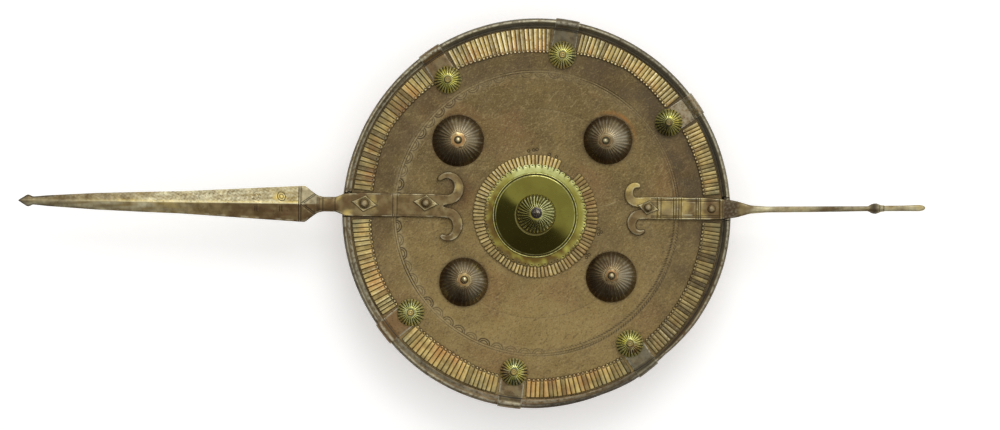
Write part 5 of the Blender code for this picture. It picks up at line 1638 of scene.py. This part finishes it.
def rivet_shell(low, seat, head, height):
    """Shank with a peened end, under a hammered domed head."""
    rows = shank(low, seat) + [(0.97 * head, seat, 0), (head, seat + 0.2, 0)]
    for angle in (share * math.pi / 2 for share in np.linspace(0.12, 1, 9)):
        rows.append((max(head * math.cos(angle) ** 0.8, 0.01), seat + height * math.sin(angle), 0))
    shell = fluted_shell(rows, 5, plump, 7)
    away, _ = axis_places(shell)
    rise = shell.points[:, 2]
    dents = 0.09 * ripple(shell.points, 2.6, 8) * (rise > seat + 0.3)
    shell.fields["wear"] = (away < 0.55 * head) * (rise > seat) * 0.2
    shell.fields["grime"] = bump(away, head, 0.5)
    shell.fields["tone"] = -0.3 + 0 * away
    return shell._replace(points=shell.points + np.column_stack([0 * dents, 0 * dents, dents]))


# The rivets: their arm and number, and the half sizes and the turn, in degrees, of the lozenge washer under
# them.
ARM_RIVETS = (
    ("dagger", 1, (12.5, 7.9), -8.0), ("dagger", 2, (12.2, 7.7), -6.3),
    ("rod", 1, (10.4, 7.0), -12.0), ("rod", 2, None, 0),
)
HEAD_HEIGHT = 0.55  # of a rivet's head, as a share of its radius
HEAD_SUNK = 0.4  # how far a head reaches down into the hollow of its washer
# Each arm: its side, rows, bow, scrolls, the notch between them, marks, and the step of its points.
ARMS = {
    "dagger": (DAGGER, DAGGER_ROWS, no_bow, DAGGER_SCROLLS, (86.0, -0.4), dagger_marks, 1.1),
    "rod": (ROD, ROD_ROWS, rod_bow, ROD_SCROLLS, (97.0, -0.6), rod_marks, 0.9),
}


def build_arms(finishes):
    lines = {"dagger": [line for group in dagger_lines() for line in group] + [RIDGE],
             "rod": [line for group in rod_lines() for line in group]}
    for name, (side, rows, bow, scrolls, notch, marks, step) in ARMS.items():
        outline = arm_outline(rows, bow, scrolls, notch)
        shell = on_arm(slab_shell(outline, step, lines[name], arm_form(rows, bow, marks)), side)
        make_piece(f"{name}_arm_forged", shell, finishes["arm_iron"], [f"{name}_arm"], 50)
    for name, number, lozenge, turn in ARM_RIVETS:
        node = f"{name}_rivet_{number}"
        low, high = box(node)
        head = (high[0] - low[0]) / 2
        height = HEAD_HEIGHT * head
        seat = high[2] - height
        if lozenge:
            washer = f"{name}_washer_{number}"
            shell = placed(washer_shell(*lozenge), *middle_of(washer)[:2], box(washer)[0][2],
                           math.radians(turn) + ARM_LEAN)
            make_piece(f"{washer}_lozenge", shell, finishes["arm_iron"], [washer], 50)
            seat -= HEAD_SUNK
            height += HEAD_SUNK
        shell = placed(rivet_shell(low[2], seat, head, height), *middle_of(node)[:2])
        make_piece(f"{node}_head", shell, finishes["arm_iron"], [node], 60)


# ---------------------------------------------------------------- handles of the back

FOOT_HALF = 8.0
FOOT_THICKNESS = 3.0
GRIP_RADIUS = 8.0
BAND_HALF_WIDTH, BAND_HALF_THICKNESS = 17.0, 2.0
FOOT_FULLNESS = 5.0  # of the section: 2 for an ellipse, more for a flatter one
WRAP_PITCH = 7.0
STITCH_PITCH = 5.0
STITCH_INSET = 2.6
HANDLE_SIDES = 40


def handle_path(span, depth):
    """(along, height) of a handle's middle line from foot to foot, and how far along it each point is from
    the nearer end and from the first one."""
    half = span / 2
    drop = BACK - depth
    foot = -0.3 - FOOT_THICKNESS / 2
    leg = half - 12
    out = [(half + 9, foot), (half + 4, foot), (half - 2, foot), (half - 6, foot), (leg, -0.14 * drop),
           (leg - 6, -0.52 * drop), (leg - 13, -0.86 * drop), (leg - 24, -drop)]
    path = np.maximum(smooth_path(out + [(-s, z) for s, z in reversed(out)], 8), [-1e9, -drop])
    path = subdivided(path, 1.0)
    steps = np.concatenate([[0], np.cumsum(np.linalg.norm(np.diff(path, axis=0), axis=1))])
    return path, np.minimum(steps, steps[-1] - steps), steps


def swept_shell(path, half_wide, half_thick, fullness, relief, fields):
    """A bar swept along a path in its own plane. Half sizes are arrays along it, and relief a grid."""
    up = side_of(path)
    angle = angles_round(HANDLE_SIDES)
    cos, sin = np.cos(angle), np.sin(angle)
    full = 2 / fullness[:, None]
    across = np.sign(cos) * np.abs(cos) ** full * (half_wide[:, None] + relief)
    rise = np.sign(sin) * np.abs(sin) ** full * (half_thick[:, None] + relief)
    points = np.stack([path[:, :1] + up[:, :1] * rise, across, path[:, 1:] + up[:, 1:] * rise], axis=-1)
    first, last = (points[[i]].mean(axis=1, keepdims=True).repeat(HANDLE_SIDES, axis=1) for i in (0, -1))
    return grid_shell(np.concatenate([first, points, last]), ends_repeated(fields), close_columns=True)


def bound_surface(steps, angle):
    """Relief, tool and pale fields of a grip that is wound with a leather strip."""
    turns = (steps / WRAP_PITCH + angle / TURN) % 1
    seam = np.minimum(turns, 1 - turns)
    return -0.55 * bump(seam, 0, 0.12), bump(seam, 0, 0.07), 0.35 * bump(turns, 0.5, 0.35)


def stitched_surface(steps, angle):
    """Relief, tool and pale fields of a strap with a row of stitches along each side."""
    edge = np.abs(np.cos(angle))[None, :] ** 0.45 * BAND_HALF_WIDTH
    seam = BAND_HALF_WIDTH - STITCH_INSET
    stitch = bump(steps % STITCH_PITCH, STITCH_PITCH / 2, 1.6) * bump(edge, seam, 0.7)
    return 0.25 * stitch, bump(edge, seam, 1.2) * (1 - 0.8 * stitch), 0 * stitch


# Each handle of the back: its piece, node and bosses; then its half width and thickness, how far its middle
# is over the surface it lies on, the fullness of its section, and its surface.
HANDLES = (
    ("grip_bound", "hand_grip", "upper_left", "lower_left",
     GRIP_RADIUS, GRIP_RADIUS, GRIP_RADIUS, 2.2, bound_surface),
    ("strap_stitched", "forearm_strap", "upper_right", "lower_right",
     BAND_HALF_WIDTH, BAND_HALF_THICKNESS, BAND_HALF_THICKNESS + 0.25, FOOT_FULLNESS, stitched_surface),
)


def build_handles(finishes):
    for name, node, top, bottom, wide, thick, depth, fullness, surface in HANDLES:
        a, b = (middle_of(f"boss_{boss}")[:2] for boss in (top, bottom))
        path, from_end, steps = handle_path(np.linalg.norm(a - b), depth)
        foot = 1 - smoothstep(14, 24, from_end)
        free = (1 - foot)[:, None]
        relief, tool, pale = (free * values for values in surface(steps[:, None], angles_round(HANDLE_SIDES)))
        wide = wide * (1 - foot) + FOOT_HALF * foot
        thick = thick * (1 - foot) + FOOT_THICKNESS / 2 * foot
        fullness = fullness * (1 - foot) + FOOT_FULLNESS * foot
        shell = swept_shell(path, wide, thick, fullness, relief, {"tool": tool, "pale": pale})
        shell = placed(shell, *((a + b) / 2), BACK, math.atan2(*(a - b)[::-1]))
        make_piece(name, shell, finishes["binding"], [node], 60)


# ---------------------------------------------------------------- floor, light and camera

# Places and sizes in metres, the lamp's power in watts, and the camera's lens and sensor in millimetres.
FLOOR_SIZE = 6.0
LAMP_PLACE, LAMP_SIZE, LAMP_POWER = (0.55, 1.95, 2.6), (1.8, 1.4), 24.0
CAMERA_PLACE, CAMERA_DISTANCE = (0.0261, -0.0017), 5.14
CAMERA_LENS, CAMERA_SENSOR = 200.0, 36.0
FLOOR_WHITE = (0.92, 0.92, 0.92, 1)
FLOOR_GLOW = 0.36
# The studio's bright sides: the direction toward the middle of each, how far the light's direction has to
# agree with it for the light to start and to be full, and its strength. The walls elsewhere are dark.
BRIGHT_SIDES = (((0.35, 0.55, 0.75), 0.2, 0.36, 0.54), ((0, 0, 1), 0.5, 0.95, 0.45))
DARK_WALLS = 0.09
WORLD_COLOUR = (1.0, 0.99, 0.97, 1.0)


def build_floor():
    """White paper, lit a little from below as on a light table."""
    bpy.ops.mesh.primitive_plane_add(size=FLOOR_SIZE, location=(0, 0, 0))
    floor = bpy.context.object
    floor.name = "floor"
    paper = Finish("floor_paper").set(base_color=FLOOR_WHITE, roughness=0.9, emission_color=FLOOR_WHITE,
                                      emission_strength=FLOOR_GLOW)
    floor.data.materials.append(paper)


def build_world():
    """A studio with a pale ceiling, a bright side to the upper right of the shield and dark walls."""
    world = bpy.data.worlds.new("studio")
    bpy.context.scene.world = world
    graph = Graph(world)
    direction = graph.node("ShaderNodeTexCoord").outputs["Generated"]
    lights = []
    for toward, start, full, strength in BRIGHT_SIDES:
        inputs = [(0, direction), (1, Vector(toward).normalized())]
        agreement = graph.node("ShaderNodeVectorMath", inputs, operation="DOT_PRODUCT").outputs["Value"]
        lights.append(graph.remap(agreement, start, full, 0.0, strength))
    background = graph.tree.nodes["Background"]
    background.inputs["Color"].default_value = WORLD_COLOUR
    graph.feed(background.inputs["Strength"], graph.math("ADD", graph.math("ADD", *lights), DARK_WALLS))


def link_object(name, data, place):
    made = bpy.data.objects.new(name, data)
    bpy.context.scene.collection.objects.link(made)
    made.location = place
    return made


def build_lamp():
    """One wide lamp, turned to the shield's middle."""
    light = bpy.data.lights.new("key", "AREA")
    light.shape = "RECTANGLE"
    light.size, light.size_y = LAMP_SIZE
    light.energy = LAMP_POWER
    lamp = link_object("key", light, LAMP_PLACE)
    toward = Vector((CENTRE[0] * MM, 0, 0)) - Vector(LAMP_PLACE)
    lamp.rotation_euler = toward.to_track_quat("-Z", "Y").to_euler()


def build_camera():
    """A long lens that looks straight down, from far enough to see the face without perspective."""
    camera = bpy.data.cameras.new("camera")
    camera.lens, camera.sensor_width = CAMERA_LENS, CAMERA_SENSOR
    bpy.context.scene.camera = link_object("camera", camera, (*CAMERA_PLACE, FACE * MM + CAMERA_DISTANCE))


def main():
    finishes = make_finishes()
    disc = placed(leather_disc_shell(), *CENTRE)
    make_piece("leather_board", disc, finishes["leather"], ["leather_disc"])
    for build in (build_rim, build_clips, build_strips, build_studs, build_bosses, build_centre, build_arms,
                  build_handles):
        build(finishes)
    for build in (build_floor, build_world, build_lamp, build_camera):
        build()
    bpy.context.scene.view_settings.view_transform = "Standard"


main()
